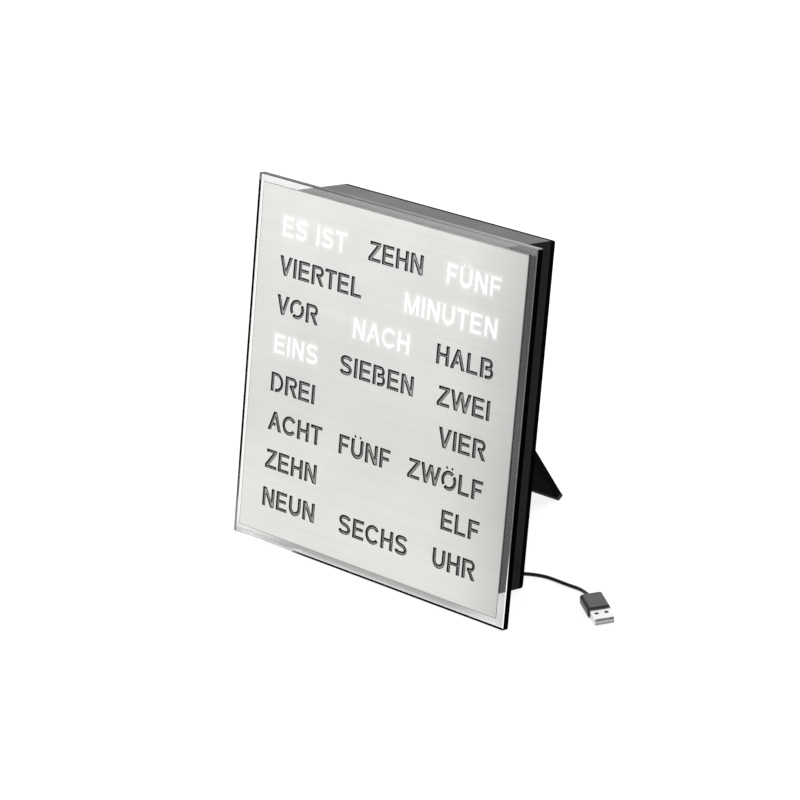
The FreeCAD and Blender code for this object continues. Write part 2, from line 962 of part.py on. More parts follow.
def cell_holder():
    """A cup that the coin cell slides into, with a cut-out to push it out by."""
    wall = 1.2
    front = control_front - cell_thickness - 2.2
    cup = rod_y(cell_radius + wall, cell_x, cell_z, front, control_front)
    hollow = rod_y(cell_radius + 0.2, cell_x, cell_z, front - 1, control_front - 1.5)
    notch = block(cell_x - 4, cell_x + 4, front - 1, control_front - 1.5, cell_z, cell_z + 2 * cell_radius)
    return cup.cut([hollow, notch])


def coin_cell():
    rear = control_front - 1.5
    disc = rod_y(cell_radius, cell_x, cell_z, rear - cell_thickness, rear)
    return disc.makeFillet(0.4, edges_on_plane(disc, Vector(0, rear - cell_thickness, 0), Vector(0, 1, 0)))


def switch_body(z):
    half = switch_size / 2
    rear = control_rear + switch_height
    body = block(button_x - half, button_x + half, control_rear, rear, z - half, z + half)
    well = rod_y(plunger_radius + plunger_fit, button_x, z, plunger_inner_end() - button_travel - plunger_gap, rear + 1)
    return body.cut(well)


def plunger_inner_end():
    """Where a plunger ends inside its switch, at rest."""
    return control_rear + switch_height - plunger_inside


def button_inner_face():
    """The button's flange bears on the cover's inner face."""
    return cover_front - button_flange_thickness


def switch_bodies():
    return [switch_body(z) for z in button_z]


def plunger(z):
    return rod_y(plunger_radius, button_x, z, plunger_inner_end(), button_inner_face() - plunger_gap)


def push_button(z):
    outer = housing_depth + button_proud
    shaft = rod_y(button_radius, button_x, z, button_inner_face(), outer)
    shaft = shaft.makeFillet(0.5, edges_on_plane(shaft, Vector(0, outer, 0), Vector(0, 1, 0)))
    flange = rod_y(button_radius + button_flange, button_x, z, button_inner_face(), cover_front - 0.02)
    dish = Part.makeSphere(12.0, Vector(button_x, outer + 11.7, z))
    return joined([shaft, flange]).cut(dish)


# ---------------------------------------------------------------- stand and hinge
def hinge_bracket(side):
    """An L-shaped bracket beside the stand: a flange screwed to the cover and an ear round the pin."""
    inner = bracket_inner
    outer = inner + ear_thickness + bracket_flange_width
    low = hinge_height - bracket_height / 2
    high = hinge_height + bracket_height / 2
    rear = housing_depth + ear_thickness
    flange = block(inner, outer, housing_depth, rear, low, high)
    corners = [e for e in edges_along(flange, Vector(0, 1, 0)) if e.CenterOfMass.x > outer - 0.1]
    flange = flange.makeFillet(2.0, corners)
    ear_end = hinge_y
    ear = block(inner, inner + ear_thickness, housing_depth, ear_end, hinge_height - ear_reach, hinge_height + ear_reach)
    tip = rod_x(ear_reach, inner, inner + ear_thickness, hinge_y, hinge_height)
    bracket = joined([flange, ear, tip])
    holes = [rod_x(pin_radius + pin_fit, inner - 1, inner + ear_thickness + 1, hinge_y, hinge_height)]
    for x, z in bracket_screw_places():
        if x > 0:
            holes.append(rod_y(screw_radius + 2 * screw_fit, x, z, housing_depth - 1, rear + 1))
    bracket = bracket.cut(holes)
    if side < 0:
        bracket = bracket.mirror(Vector(0, 0, 0), Vector(1, 0, 0))
    return bracket


def bracket_screws():
    seat = housing_depth + ear_thickness
    return [pan_screw(x, z, seat, bracket_screw_length, -1) for x, z in bracket_screw_places()]


def hinge_pin():
    half = bracket_inner + ear_thickness
    shaft = rod_x(pin_radius, -half, half, hinge_y, hinge_height)
    heads = []
    for start in (-half - pin_head_thickness, half):
        heads.append(rod_x(pin_head_radius, start, start + pin_head_thickness, hinge_y, hinge_height))
    return joined([shaft] + heads)


def heel_length():
    """How far the stand reaches above its pin so that its top edge stops on the cover when it is open."""
    half = stand_thickness / 2
    return (hinge_offset - heel_gap - half * math.cos(open_angle)) / math.sin(open_angle)


def open_stand(shape):
    """Turns a folded piece about the hinge pin to where it stands open."""
    turned = shape.copy()
    turned.rotate(Vector(0, hinge_y, hinge_height), Vector(1, 0, 0), stand_open_angle)
    return turned


def stand():
    half_width = stand_width / 2
    half = stand_thickness / 2
    tip = hinge_height - stand_length + sole_length
    top = hinge_height + heel_length()
    plate = block(-half_width, half_width, hinge_y - half, hinge_y + half, tip, top)
    plate = plate.makeFillet(0.6, edges_along(plate, Vector(0, 0, 1)))
    barrel_half = half_width - 6.0
    barrel = rod_x(barrel_radius, -barrel_half, barrel_half, hinge_y, hinge_height)
    front = block(-half_width, half_width, hinge_y - 2 * barrel_radius, hinge_y - half, tip, top)
    barrel = barrel.cut(front)
    bore = rod_x(pin_radius + pin_fit, -half_width - 1, half_width + 1, hinge_y, hinge_height)
    return joined([plate, barrel]).cut(bore)


def stand_sole():
    """The rubber tread on the stand's end; the table trims its lower edge flat."""
    half_width = stand_width / 2
    half = stand_thickness / 2
    end = hinge_height - stand_length
    return block(-half_width, half_width, hinge_y - half, hinge_y + half, end, end + sole_length)


def sole_corner():
    """(y, z) of the sole's lower inner corner with the stand open, before it is trimmed."""
    half = stand_thickness / 2
    y = hinge_y + stand_length * math.sin(open_angle) - half * math.cos(open_angle)
    z = hinge_height - stand_length * math.cos(open_angle) - half * math.sin(open_angle)
    return y, z


def lean_angle():
    """How far the clock leans back, in radians, standing on its glass and the sole's trimmed edge."""
    y, z = sole_corner()
    run = y + glass_arris
    return math.atan2(z, run) + math.asin(sole_flat_depth / math.hypot(run, z))


lean = lean_angle()


def leant(shape):
    """From the plate's frame to the table: turned about the glass's lower rear edge."""
    turned = shape.copy()
    turned.rotate(Vector(0, -glass_arris, 0), Vector(1, 0, 0), -math.degrees(lean))
    turned.translate(Vector(0, glass_arris, 0))
    return turned


def leant_point(x, y, z):
    """The same for one point."""
    run = y + glass_arris
    return (
        x,
        run * math.cos(lean) + z * math.sin(lean),
        -run * math.sin(lean) + z * math.cos(lean),
    )


# ---------------------------------------------------------------- lead, in the table's frame
def cord_grommet():
    """The strain relief in the cover: a flange outside, a neck in the hole and a tapered tail."""
    rear = housing_depth + grommet_flange_thickness
    neck = rod_y(grommet_radius - 0.05, grommet_x, grommet_z, cover_front, housing_depth)
    flange = rod_y(grommet_flange_radius, grommet_x, grommet_z, housing_depth, rear)
    tail = cone_y(grommet_radius, grommet_tail_radius, grommet_x, grommet_z, rear, rear + grommet_tail_length)
    collar = rod_y(grommet_flange_radius - 0.8, grommet_x, grommet_z, cover_front - 1.0, cover_front)
    bore = rod_y(cord_radius, grommet_x, grommet_z, cover_front - 2, rear + grommet_tail_length + 1)
    return joined([neck, flange, tail, collar]).cut(bore)


def cord_stop():
    """A crimped sleeve inside, which keeps the lead from pulling out."""
    front = cover_front - 1.0 - cord_stop_length
    sleeve = rod_y(cord_stop_radius, grommet_x, grommet_z, front, cover_front - 1.0)
    return sleeve.cut(rod_y(cord_radius, grommet_x, grommet_z, front - 1, cover_front))


def inner_lead():
    rear = housing_depth + grommet_flange_thickness + grommet_tail_length
    return rod_y(cord_radius, grommet_x, grommet_z, board_rear + power_header_size[1], rear)


def tube(points, name):
    """A round tube along straight runs joined by tangent arcs."""
    corners = [Vector(*p) for p in points]
    edges = []
    radii = []
    last = corners[0]
    for before, at, after in zip(corners, corners[1:], corners[2:]):
        run_in = at - before
        run_out = after - at
        shorter = min(run_in.Length, run_out.Length)
        turn = run_in.getAngle(run_out)
        setback = 0.45 * shorter
        radius = setback / math.tan(turn / 2)
        radii.append(radius)
        way_in = Vector(run_in).normalize()
        way_out = Vector(run_out).normalize()
        start = at - way_in * setback
        end = at + way_out * setback
        bisector = (way_out - way_in).normalize()
        centre = at + bisector * (radius / math.cos(turn / 2))
        middle = centre - bisector * radius
        edges.append(Part.LineSegment(last, start).toShape())
        edges.append(Part.Arc(start, middle, end).toShape())
        last = end
    edges.append(Part.LineSegment(last, corners[-1]).toShape())
    path = Part.Wire(edges)
    length = path.Length
    along = (corners[1] - corners[0]).normalize()
    profile = Part.Wire(Part.makeCircle(cord_radius, corners[0], along))
    solid = path.makePipeShell([profile], True, False)
    section = math.pi * cord_radius**2
    print(name, "radii", [round(r, 1) for r in radii], "length", round(length, 1))
    print(name, "volume over section times length", round(solid.Volume / (section * length), 4))
    return solid


def grommet_end():
    """Where the lead leaves the strain relief, and the way it points."""
    rear = housing_depth + grommet_flange_thickness + grommet_tail_length
    tip = leant_point(grommet_x, rear, grommet_z)
    return tip, (0.0, math.cos(lean), -math.sin(lean))


coil_join = coil_outer_radius - cord_radius
lay = floor_gap + cord_radius


def lead_points():
    """From the strain relief down to the coil's top turn, at its back."""
    tip, way = grommet_end()
    straight = 6.0
    out = tuple(tip[i] + way[i] * straight for i in range(3))
    slant = math.radians(135)
    join_x = coil_centre[0] + coil_join * math.cos(slant)
    join_y = coil_centre[1] + coil_join * math.sin(slant)
    return [
        tip,
        out,
        (47.9, 77.2, 16.7),
        (42.9, 80.7, 13.5),
        (36.8, 81.3, 10.6),
        (join_x, join_y, coil_floor + coil_height - cord_radius),
    ]


def strand_points():
    """From the front of the coil along the table, past the housing's corner, to the plug."""
    plug_height = floor_gap + plug_grip_size[1] / 2
    return [
        (coil_centre[0], coil_centre[1] - coil_join, coil_floor + cord_radius),
        (51.8, 52.1, 1.6),
        (62.5, 52.0, lay),
        (70.5, 55.3, lay),
        (79.5, 60.3, lay),
        (89.0, 62.9, lay + 0.1),
        (99.0, 62.9, lay),
        (108.0, 62.5, lay),
        (115.4, 62.8, lay + 0.05),
        (121.9, 60.9, 1.7),
        (127.8, 57.7, 2.7),
        (133.0, 54.2, plug_height),
    ]


def cord_coil():
    """The lead's spare length, as the ring that its turns fill."""
    x, y = coil_centre
    base = Vector(x, y, coil_floor)
    ring_solid = Part.makeCylinder(coil_outer_radius, coil_height, base)
    hole = Part.makeCylinder(coil_inner_radius, coil_height + 2, base - Vector(0, 0, 1))
    return ring_solid.cut(hole)


def coil_tie(coil):
    """A band round the coil's turns."""
    x, y = coil_centre
    inner = coil_inner_radius - tie_thickness
    outer = coil_outer_radius + tie_thickness
    band = block(x + inner, x + outer, y - tie_width / 2, y + tie_width / 2, coil_floor - tie_thickness, coil_floor + coil_height + tie_thickness)
    return band.cut(coil)


def placed_plug(piece):
    """From the plug's own frame, x along it from where the lead enters, to where the lead ends."""
    placed = piece.copy()
    placed.rotate(Vector(0, 0, 0), Vector(0, 0, 1), plug_turn)
    placed.translate(Vector(*strand_points()[-1]))
    return placed


def plug_grip():
    width, height, length = plug_grip_size
    grip = block(0, length, -width / 2, width / 2, -height / 2, height / 2)
    grip = grip.makeFillet(2.0, edges_along(grip, Vector(1, 0, 0)))
    return placed_plug(grip)


def plug_shell():
    width, height, length = plug_shell_size
    start = plug_grip_size[2]
    outer = block(start, start + length, -width / 2, width / 2, -height / 2, height / 2)
    hollow = block(
        start - 1,
        start + length + 1,
        -width / 2 + plug_shell_wall,
        width / 2 - plug_shell_wall,
        -height / 2 + plug_shell_wall,
        height / 2 - plug_shell_wall,
    )
    windows = []
    for side in (-1, 1):
        windows.append(block(start + 5, start + 7.5, side * 3 - 1.2, side * 3 + 1.2, 0, height))
    return placed_plug(outer.cut([hollow] + windows))


def plug_tongue():
    width, height, length = plug_shell_size
    start = plug_grip_size[2]
    low = -height / 2 + plug_shell_wall
    half = width / 2 - plug_shell_wall
    tongue = block(start, start + length - 1, -half, half, low, low + plug_tongue_thickness)
    return placed_plug(tongue)


# ---------------------------------------------------------------- assembly
coil = cord_coil()
clock_pieces = {
    "glass_plate": [glass_plate()],
    "face_plate": [face_plate()],
    "diffuser_film": [diffuser_film()],
    "bonding_tape": [bonding_tape()],
    "housing": [housing()],
    "rear_cover": [rear_cover()],
    "baffle_grid": [baffle_grid()],
    "led_board": [led_board()],
    "leds": leds(),
    "driver_chips": driver_chips(),
    "link_socket": [link_socket()],
    "link_pins": [link_pins()],
    "power_header": [power_header()],
    "control_board": [control_board()],
    "microcontroller": [microcontroller()],
    "clock_crystal": [clock_crystal()],
    "capacitor": [capacitor()],
    "cell_holder": [cell_holder()],
    "coin_cell": [coin_cell()],
    "switch_bodies": switch_bodies(),
    "led_board_screws": led_board_screws(),
    "control_board_screws": control_board_screws(),
    "cover_screws": cover_screws(),
    "bracket_screws": bracket_screws(),
    "hinge_brackets": [hinge_bracket(-1), hinge_bracket(1)],
    "hinge_pin": [hinge_pin()],
    "cord_grommet": [cord_grommet()],
    "cord_stop": [cord_stop()],
    "inner_lead": [inner_lead()],
}
for name, z in zip(("hour", "minute", "dimmer"), button_z):
    clock_pieces[name + "_button"] = [push_button(z)]
    clock_pieces[name + "_plunger"] = [plunger(z)]

placed = {}
for name, solids in clock_pieces.items():
    placed[name] = [leant(solid) for solid in solids]
placed["stand"] = [leant(open_stand(stand()))]
table = block(-plate_width, plate_width, 0, 2 * plate_height, -plate_height, 0)
placed["stand_sole"] = [leant(open_stand(stand_sole())).cut(table)]

# the origin lies under the middle of the box of everything but the lead
everything = Part.makeCompound([solid for solids in placed.values() for solid in solids])
middle_y = (everything.BoundBox.YMin + everything.BoundBox.YMax) / 2

placed["cord_lead"] = [tube(lead_points(), "cord_lead")]
placed["cord_coil"] = [coil]
placed["coil_tie"] = [coil_tie(coil)]
placed["cord_strand"] = [tube(strand_points(), "cord_strand")]
placed["plug_grip"] = [plug_grip()]
placed["plug_shell"] = [plug_shell()]
placed["plug_tongue"] = [plug_tongue()]

for name, solids in placed.items():
    for solid in solids:
        solid.translate(Vector(0, -middle_y, 0))
    shape = solids[0] if len(solids) == 1 else Part.makeCompound(solids)
    shape.exportStep("parts/" + name + ".step")


def row_point(x, y, z):
    """A point of the plate's frame in the finished part, in metres."""
    px, py, pz = leant_point(x, y, z)
    return [round(value / 1000, 6) for value in (px, py - middle_y, pz)]


print("lean", round(math.degrees(lean), 3), "middle_y", round(middle_y, 3))
print("hinge", row_point(0, hinge_y, hinge_height))
print("rear normal", [0, round(math.cos(lean), 6), round(-math.sin(lean), 6)])
print("rear face", row_point(0, housing_depth, 60.0))
flat_end = [f for f in placed["stand_sole"][0].Faces if f.BoundBox.ZMax < 0.001]
print("sole flat", [[round(v, 3) for v in f.CenterOfMass] for f in flat_end], [round(f.Area, 1) for f in flat_end])
print("grommet end", [round(v, 2) for v in grommet_end()[0]])
print("box", everything.BoundBox)
for name, solids in placed.items():
    for solid in solids:
        if len(solid.Solids) != 1 or not solid.isValid():
            print("CHECK", name, len(solid.Solids), solid.isValid())
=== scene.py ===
import json
import math

import bmesh
import bpy
from mathutils import Matrix, Vector
from mathutils.geometry import delaunay_2d_cdt
from mathutils.kdtree import KDTree


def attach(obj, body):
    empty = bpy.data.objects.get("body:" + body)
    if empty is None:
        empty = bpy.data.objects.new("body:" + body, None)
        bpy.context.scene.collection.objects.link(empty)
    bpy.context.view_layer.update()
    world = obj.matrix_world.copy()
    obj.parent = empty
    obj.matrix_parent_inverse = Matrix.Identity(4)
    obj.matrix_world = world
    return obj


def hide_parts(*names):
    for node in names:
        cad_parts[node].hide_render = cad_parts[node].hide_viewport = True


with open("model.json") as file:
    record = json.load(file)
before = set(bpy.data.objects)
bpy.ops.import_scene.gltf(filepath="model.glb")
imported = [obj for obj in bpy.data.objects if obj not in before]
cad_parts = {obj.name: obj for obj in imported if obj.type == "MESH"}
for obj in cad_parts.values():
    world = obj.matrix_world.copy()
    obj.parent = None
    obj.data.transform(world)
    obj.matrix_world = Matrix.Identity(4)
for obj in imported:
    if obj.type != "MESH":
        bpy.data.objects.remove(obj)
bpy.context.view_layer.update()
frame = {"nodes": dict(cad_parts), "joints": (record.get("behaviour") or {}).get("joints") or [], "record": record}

scene = bpy.context.scene
scene.view_settings.view_transform = "Standard"

# ---------------------------------------------------------------- places
# Lengths are in millimetres, unless a line says otherwise. The plate's frame has X to the right, Y backwards
# from the glass's rear face and Z up the plate. The table's frame is level, with the plate's foot at Y = 0.
# The part's own frame is the table's, moved back and in metres.
press_axis = next(joint["axis"] for joint in frame["joints"] if joint["name"] == "hour_press")
LEAN = math.atan2(press_axis[2], -press_axis[1])
FOOT_TO_MIDDLE = 74.590
GLASS_ARRIS = 0.4
TABLE_FROM_PLATE = Matrix.Rotation(-LEAN, 4, "X") @ Matrix.Translation((0, GLASS_ARRIS, 0))
PART_FROM_TABLE = Matrix.Scale(0.001, 4) @ Matrix.Translation((0, -FOOT_TO_MIDDLE, 0))
PART_FROM_PLATE = PART_FROM_TABLE @ TABLE_FROM_PLATE

PLATE_WIDTH = 230.0
# the steel face's edges
FACE_LEFT, FACE_RIGHT = -109.4, 109.4
FACE_FOOT, FACE_TOP = 6.1, 225.6
# the middle of the film's thickness
FILM_MIDDLE = -5.1

# dark strips on the glass's front, the painted dark reflection of its edges: the left one's right end, and the
# foot's height, left end and taper
LEFT_STRIP = 2.0 - PLATE_WIDTH / 2
FOOT_STRIP = 1.25
FOOT_STRIP_LEFT = -62.0
FOOT_TAPER = 14.0

# the depth from which the housing is matt
MATT_FROM = 39.8

# each lit word's left end, right end and row; then its area's half height and a margin round it
LIT_WORDS = {
    "es_ist": (-90.5, -35.4, 201.8),
    "fuenf": (47.2, 90.5, 201.8),
    "minuten": (15.4, 90.5, 177.2),
    "nach": (-24.85, 22.55, 152.6),
    "eins": (-90.5, -52.5, 128.0),
}
LIT_HALF_HEIGHT = 9.0
LIT_MARGIN = 1.5

# lead; LAY is the height of its middle where it lies on the table
CORD_RADIUS = 1.15
COIL_CENTRE = (42.7, 67.8)
COIL_OUTER_TURN = 15.45
COIL_FLOOR = 0.7
LAY = 1.25

# points this close, in metres, are one point; points this close in depth lie in one face
ONE_POINT = 0.000001
ONE_FACE = 0.001
# a face faces the way in which its normal has more than this
FACING = 0.5


# ---------------------------------------------------------------- camera
camera_data = bpy.data.cameras.new("camera")
camera = bpy.data.objects.new("camera", camera_data)
scene.collection.objects.link(camera)
camera.location = (1.43701, -1.43479, 0.98336)
camera.rotation_euler = [math.radians(angle) for angle in (66.2693, 4.0049, 44.0232)]
camera_data.sensor_width = 36.0
camera_data.lens = 163.026
camera_data.clip_end = 20.0
scene.camera = camera


# ---------------------------------------------------------------- lead
def coil_turns():
    """The lead's spare turns, wound anticlockwise from the top row's outside to the bottom row's."""
    pitch = 2 * CORD_RADIUS
    rows = 4
    turns_in_row = 3.0
    turns_between = 0.79
    steps_in_turn = 14
    start_angle = 135
    period = turns_in_row + turns_between
    total = rows * turns_in_row + (rows - 1) * turns_between
    top = COIL_FLOOR + CORD_RADIUS + (rows - 1) * pitch
    points = []
    for step in range(int(total * steps_in_turn) + 1):
        turn = step / steps_in_turn
        row = min(int(turn / period), rows - 1)
        within = turn - row * period
        drop = max(0.0, within - turns_in_row) / turns_between
        across = min(within, turns_in_row) * pitch
        inwards = across if row % 2 == 0 else turns_in_row * pitch - across
        radius = COIL_OUTER_TURN - inwards
        angle = math.radians(start_angle) + 2 * math.pi * turn
        x = COIL_CENTRE[0] + radius * math.cos(angle)
        y = COIL_CENTRE[1] + radius * math.sin(angle)
        points.append((x, y, top - (row + drop) * pitch))
    return points


# from the strain relief to the coil, in the table's frame
LEAD_ROUTE = [
    (50.0, 65.8, 20.35),
    (50.0, 71.66, 19.06),
    (47.9, 77.2, 16.7),
    (42.9, 80.7, 13.5),
    (36.8, 81.3, 10.6),
]
# from the coil to the plug
STRAND_ROUTE = [
    (51.8, 52.1, 1.6),
    (62.5, 52.0, LAY),
    (70.5, 55.3, LAY),
    (79.5, 60.3, LAY),
    (89.0, 62.9, LAY + 0.1),
    (99.0, 62.9, LAY),
    (108.0, 62.5, LAY),
    (115.4, 62.8, LAY + 0.05),
    (121.9, 60.9, 1.7),
    (127.8, 57.7, 2.7),
    (133.0, 54.2, 3.6),
]


def cord_curve(name, points, radius):
    """A round cord along one NURBS spline."""
    data = bpy.data.curves.new(name, "CURVE")
    data.dimensions = "3D"
    data.bevel_depth = radius
    data.bevel_resolution = 4
    data.resolution_u = 6
    data.use_fill_caps = True
    spline = data.splines.new("NURBS")
    spline.points.add(len(points) - 1)
    for point, spot in zip(spline.points, points):
        point.co = (*spot, 1.0)
    spline.order_u = 3
    spline.use_endpoint_u = True
    cord = bpy.data.objects.new(name, data)
    scene.collection.objects.link(cord)
    return cord


def power_lead():
    """The whole lead outside the clock, from the strain relief by way of the coil to the plug."""
    route = [PART_FROM_TABLE @ Vector(spot) for spot in LEAD_ROUTE + coil_turns() + STRAND_ROUTE]
    lead = cord_curve("power_lead", route, CORD_RADIUS / 1000)
    lead.data.materials.append(finishes["lead_sheath"])
    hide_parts("cord_lead", "cord_coil", "cord_strand")
    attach(lead, "clock")


# ---------------------------------------------------------------- shader helpers
def new_group(name, inputs, outputs):
    """An empty shader group with its sockets, and its two end nodes."""
    tree = bpy.data.node_groups.new(name, "ShaderNodeTree")
    for label, kind, value in inputs:
        socket = tree.interface.new_socket(label, in_out="INPUT", socket_type=kind)
        if value is not None:
            socket.default_value = value
    for label, kind in outputs:
        tree.interface.new_socket(label, in_out="OUTPUT", socket_type=kind)
    return tree, tree.nodes.new("NodeGroupInput"), tree.nodes.new("NodeGroupOutput")


def placed(tree, group, position=None, **values):
    """A group placed in a material, with its own values and, if it needs one, the surface's position."""
    node = tree.nodes.new("ShaderNodeGroup")
    node.node_tree = group
    for label, value in values.items():
        node.inputs[label.replace("_", " ").capitalize()].default_value = value
    if position:
        tree.links.new(position, node.inputs["Position"])
    return node


def split(tree, position):
    """A position's X, Y and Z."""
    node = tree.nodes.new("ShaderNodeSeparateXYZ")
    tree.links.new(position, node.inputs["Vector"])
    return node.outputs


def noise(tree, vector, scale, detail=2.0, roughness=0.5):
    """Soft noise from nought to one."""
    node = tree.nodes.new("ShaderNodeTexNoise")
    node.inputs["Scale"].default_value = scale
    node.inputs["Detail"].default_value = detail
    node.inputs["Roughness"].default_value = roughness
    tree.links.new(vector, node.inputs["Vector"])
    return node.outputs["Fac"]


def maths(tree, operation, first, second=None, clamp=False):
    """One Math node; a value may be a socket or a number."""
    node = tree.nodes.new("ShaderNodeMath")
    node.operation = operation
    node.use_clamp = clamp
    for socket, value in zip(node.inputs, (first, second)):
        if value is None:
            continue
        if isinstance(value, (int, float)):
            socket.default_value = value
        else:
            tree.links.new(value, socket)
    return node.outputs[0]


def spread(tree, factor, low, high, from_low=0.0, from_high=1.0):
    """Brings a factor from one range into another, whose ends may be sockets or numbers."""
    node = tree.nodes.new("ShaderNodeMapRange")
    node.inputs["From Min"].default_value = from_low
    node.inputs["From Max"].default_value = from_high
    for label, value in (("To Min", low), ("To Max", high)):
        if isinstance(value, (int, float)):
            node.inputs[label].default_value = value
        else:
            tree.links.new(value, node.inputs[label])
    tree.links.new(factor, node.inputs["Value"])
    return node.outputs["Result"]


def blended(tree, factor, first, second):
    """A colour between two, each a socket or a colour. The Mix node's sockets for colours come seventh."""
    node = tree.nodes.new("ShaderNodeMix")
    node.data_type = "RGBA"
    tree.links.new(factor, node.inputs["Factor"])
    for index, value in ((6, first), (7, second)):
        if isinstance(value, tuple):
            node.inputs[index].default_value = (*value, 1.0)
        else:
            tree.links.new(value, node.inputs[index])
    return node.outputs[2]


# ---------------------------------------------------------------- shared effects
def plate_position_group():
    """Where a point lies in the plate's frame, so that textures follow the clock's own directions."""
    tree, _, end = new_group("plate_position", [], [("Position", "NodeSocketVector")])
    spot = tree.nodes.new("ShaderNodeTexCoord")
    turned = tree.nodes.new("ShaderNodeMapping")
    turned.vector_type = "POINT"
    turned.inputs["Scale"].default_value = (1000, 1000, 1000)
    turned.inputs["Rotation"].default_value = (LEAN, 0, 0)
    turned.inputs["Location"].default_value = PART_FROM_PLATE.inverted().translation
    tree.links.new(spot.outputs["Object"], turned.inputs["Vector"])
    tree.links.new(turned.outputs["Vector"], end.inputs["Position"])
    return tree


def moulded_texture_group():
    """The fine grain of a moulded surface, with slow drifts of tone and gloss over it."""
    grain_share, drift_share = 0.55, 0.45
    drift_scale = 0.035
    tone_ends = (0.3, 0.7)
    tree, start, end = new_group(
        "moulded_texture",
        [
            ("Position", "NodeSocketVector", None),
            ("Grain", "NodeSocketFloat", 0.4),
            ("Gloss low", "NodeSocketFloat", 0.4),
            ("Gloss high", "NodeSocketFloat", 0.5),
        ],
        [("Tone", "NodeSocketFloat"), ("Roughness", "NodeSocketFloat"), ("Height", "NodeSocketFloat")],
    )
    closer = tree.nodes.new("ShaderNodeVectorMath")
    closer.operation = "DIVIDE"
    tree.links.new(start.outputs["Position"], closer.inputs[0])
    grain_size = tree.nodes.new("ShaderNodeCombineXYZ")
    for axis in "XYZ":
        tree.links.new(start.outputs["Grain"], grain_size.inputs[axis])
    tree.links.new(grain_size.outputs["Vector"], closer.inputs[1])
    grain = noise(tree, closer.outputs["Vector"], 1.0, 3.0, 0.6)
    drift = noise(tree, start.outputs["Position"], drift_scale, 2.0)
    part = maths(tree, "MULTIPLY", grain, grain_share)
    tone = maths(tree, "ADD", part, maths(tree, "MULTIPLY", drift, drift_share))
    rough = spread(tree, tone, start.outputs["Gloss low"], start.outputs["Gloss high"], *tone_ends)
    tree.links.new(tone, end.inputs["Tone"])
    tree.links.new(rough, end.inputs["Roughness"])
    tree.links.new(grain, end.inputs["Height"])
    return tree


def brushed_lines_group():
    """Long fine scratches along X, as a belt leaves them, with slow drifts of tone."""
    line_share, band_share, drift_share = 0.45, 0.25, 0.3
    band_scale = 0.1
    drift_scale = 0.02
    tone_ends = (0.27, 0.73)
    tree, start, end = new_group(
        "brushed_lines",
        [
            ("Position", "NodeSocketVector", None),
            ("Line width", "NodeSocketFloat", 0.15),
            ("Line length", "NodeSocketFloat", 30.0),
            ("Gloss low", "NodeSocketFloat", 0.3),
            ("Gloss high", "NodeSocketFloat", 0.4),
        ],
        [("Tone", "NodeSocketFloat"), ("Roughness", "NodeSocketFloat"), ("Height", "NodeSocketFloat")],
    )
    shape = tree.nodes.new("ShaderNodeCombineXYZ")
    tree.links.new(start.outputs["Line length"], shape.inputs["X"])
    tree.links.new(start.outputs["Line width"], shape.inputs["Y"])
    tree.links.new(start.outputs["Line width"], shape.inputs["Z"])
    closer = tree.nodes.new("ShaderNodeVectorMath")
    closer.operation = "DIVIDE"
    tree.links.new(start.outputs["Position"], closer.inputs[0])
    tree.links.new(shape.outputs["Vector"], closer.inputs[1])
    lines = noise(tree, closer.outputs["Vector"], 1.0, 3.0, 0.65)
    wide = tree.nodes.new("ShaderNodeVectorMath")
    wide.operation = "SCALE"
    wide.inputs["Scale"].default_value = band_scale
    tree.links.new(closer.outputs["Vector"], wide.inputs[0])
    bands = noise(tree, wide.outputs["Vector"], 1.0, 2.0)
    drift = noise(tree, start.outputs["Position"], drift_scale, 2.0)
    part = maths(tree, "MULTIPLY", lines, line_share)
    fine = maths(tree, "ADD", part, maths(tree, "MULTIPLY", bands, band_share))
    mixed = maths(tree, "ADD", fine, maths(tree, "MULTIPLY", drift, drift_share))
    tone = spread(tree, mixed, 0.0, 1.0, *tone_ends)
    rough = spread(tree, tone, start.outputs["Gloss low"], start.outputs["Gloss high"])
    tree.links.new(tone, end.inputs["Tone"])
    tree.links.new(rough, end.inputs["Roughness"])
    tree.links.new(lines, end.inputs["Height"])
    return tree


def word_area_group():
    """One inside a word's area on the plate and nought outside, falling over the soft edge."""
    tree, start, end = new_group(
        "word_area",
        [
            ("Position", "NodeSocketVector", None),
            ("Left", "NodeSocketFloat", 0.0),
            ("Right", "NodeSocketFloat", 0.0),
            ("Middle", "NodeSocketFloat", 0.0),
            ("Half height", "NodeSocketFloat", 0.0),
            ("Soft edge", "NodeSocketFloat", 0.5),
        ],
        [("Mask", "NodeSocketFloat")],
    )
    across, _, height = split(tree, start.outputs["Position"])
    before = maths(tree, "SUBTRACT", start.outputs["Left"], across)
    after = maths(tree, "SUBTRACT", across, start.outputs["Right"])
    off_row = maths(tree, "ABSOLUTE", maths(tree, "SUBTRACT", height, start.outputs["Middle"]))
    above = maths(tree, "SUBTRACT", off_row, start.outputs["Half height"])
    sideways = maths(tree, "MAXIMUM", maths(tree, "MAXIMUM", before, after), 0.0)
    upwards = maths(tree, "MAXIMUM", above, 0.0)
    square = maths(tree, "ADD", maths(tree, "POWER", sideways, 2.0), maths(tree, "POWER", upwards, 2.0))
    distance = maths(tree, "SQRT", square)
    fall = maths(tree, "DIVIDE", distance, start.outputs["Soft edge"])
    tree.links.new(maths(tree, "SUBTRACT", 1.0, fall, clamp=True), end.inputs["Mask"])
    return tree


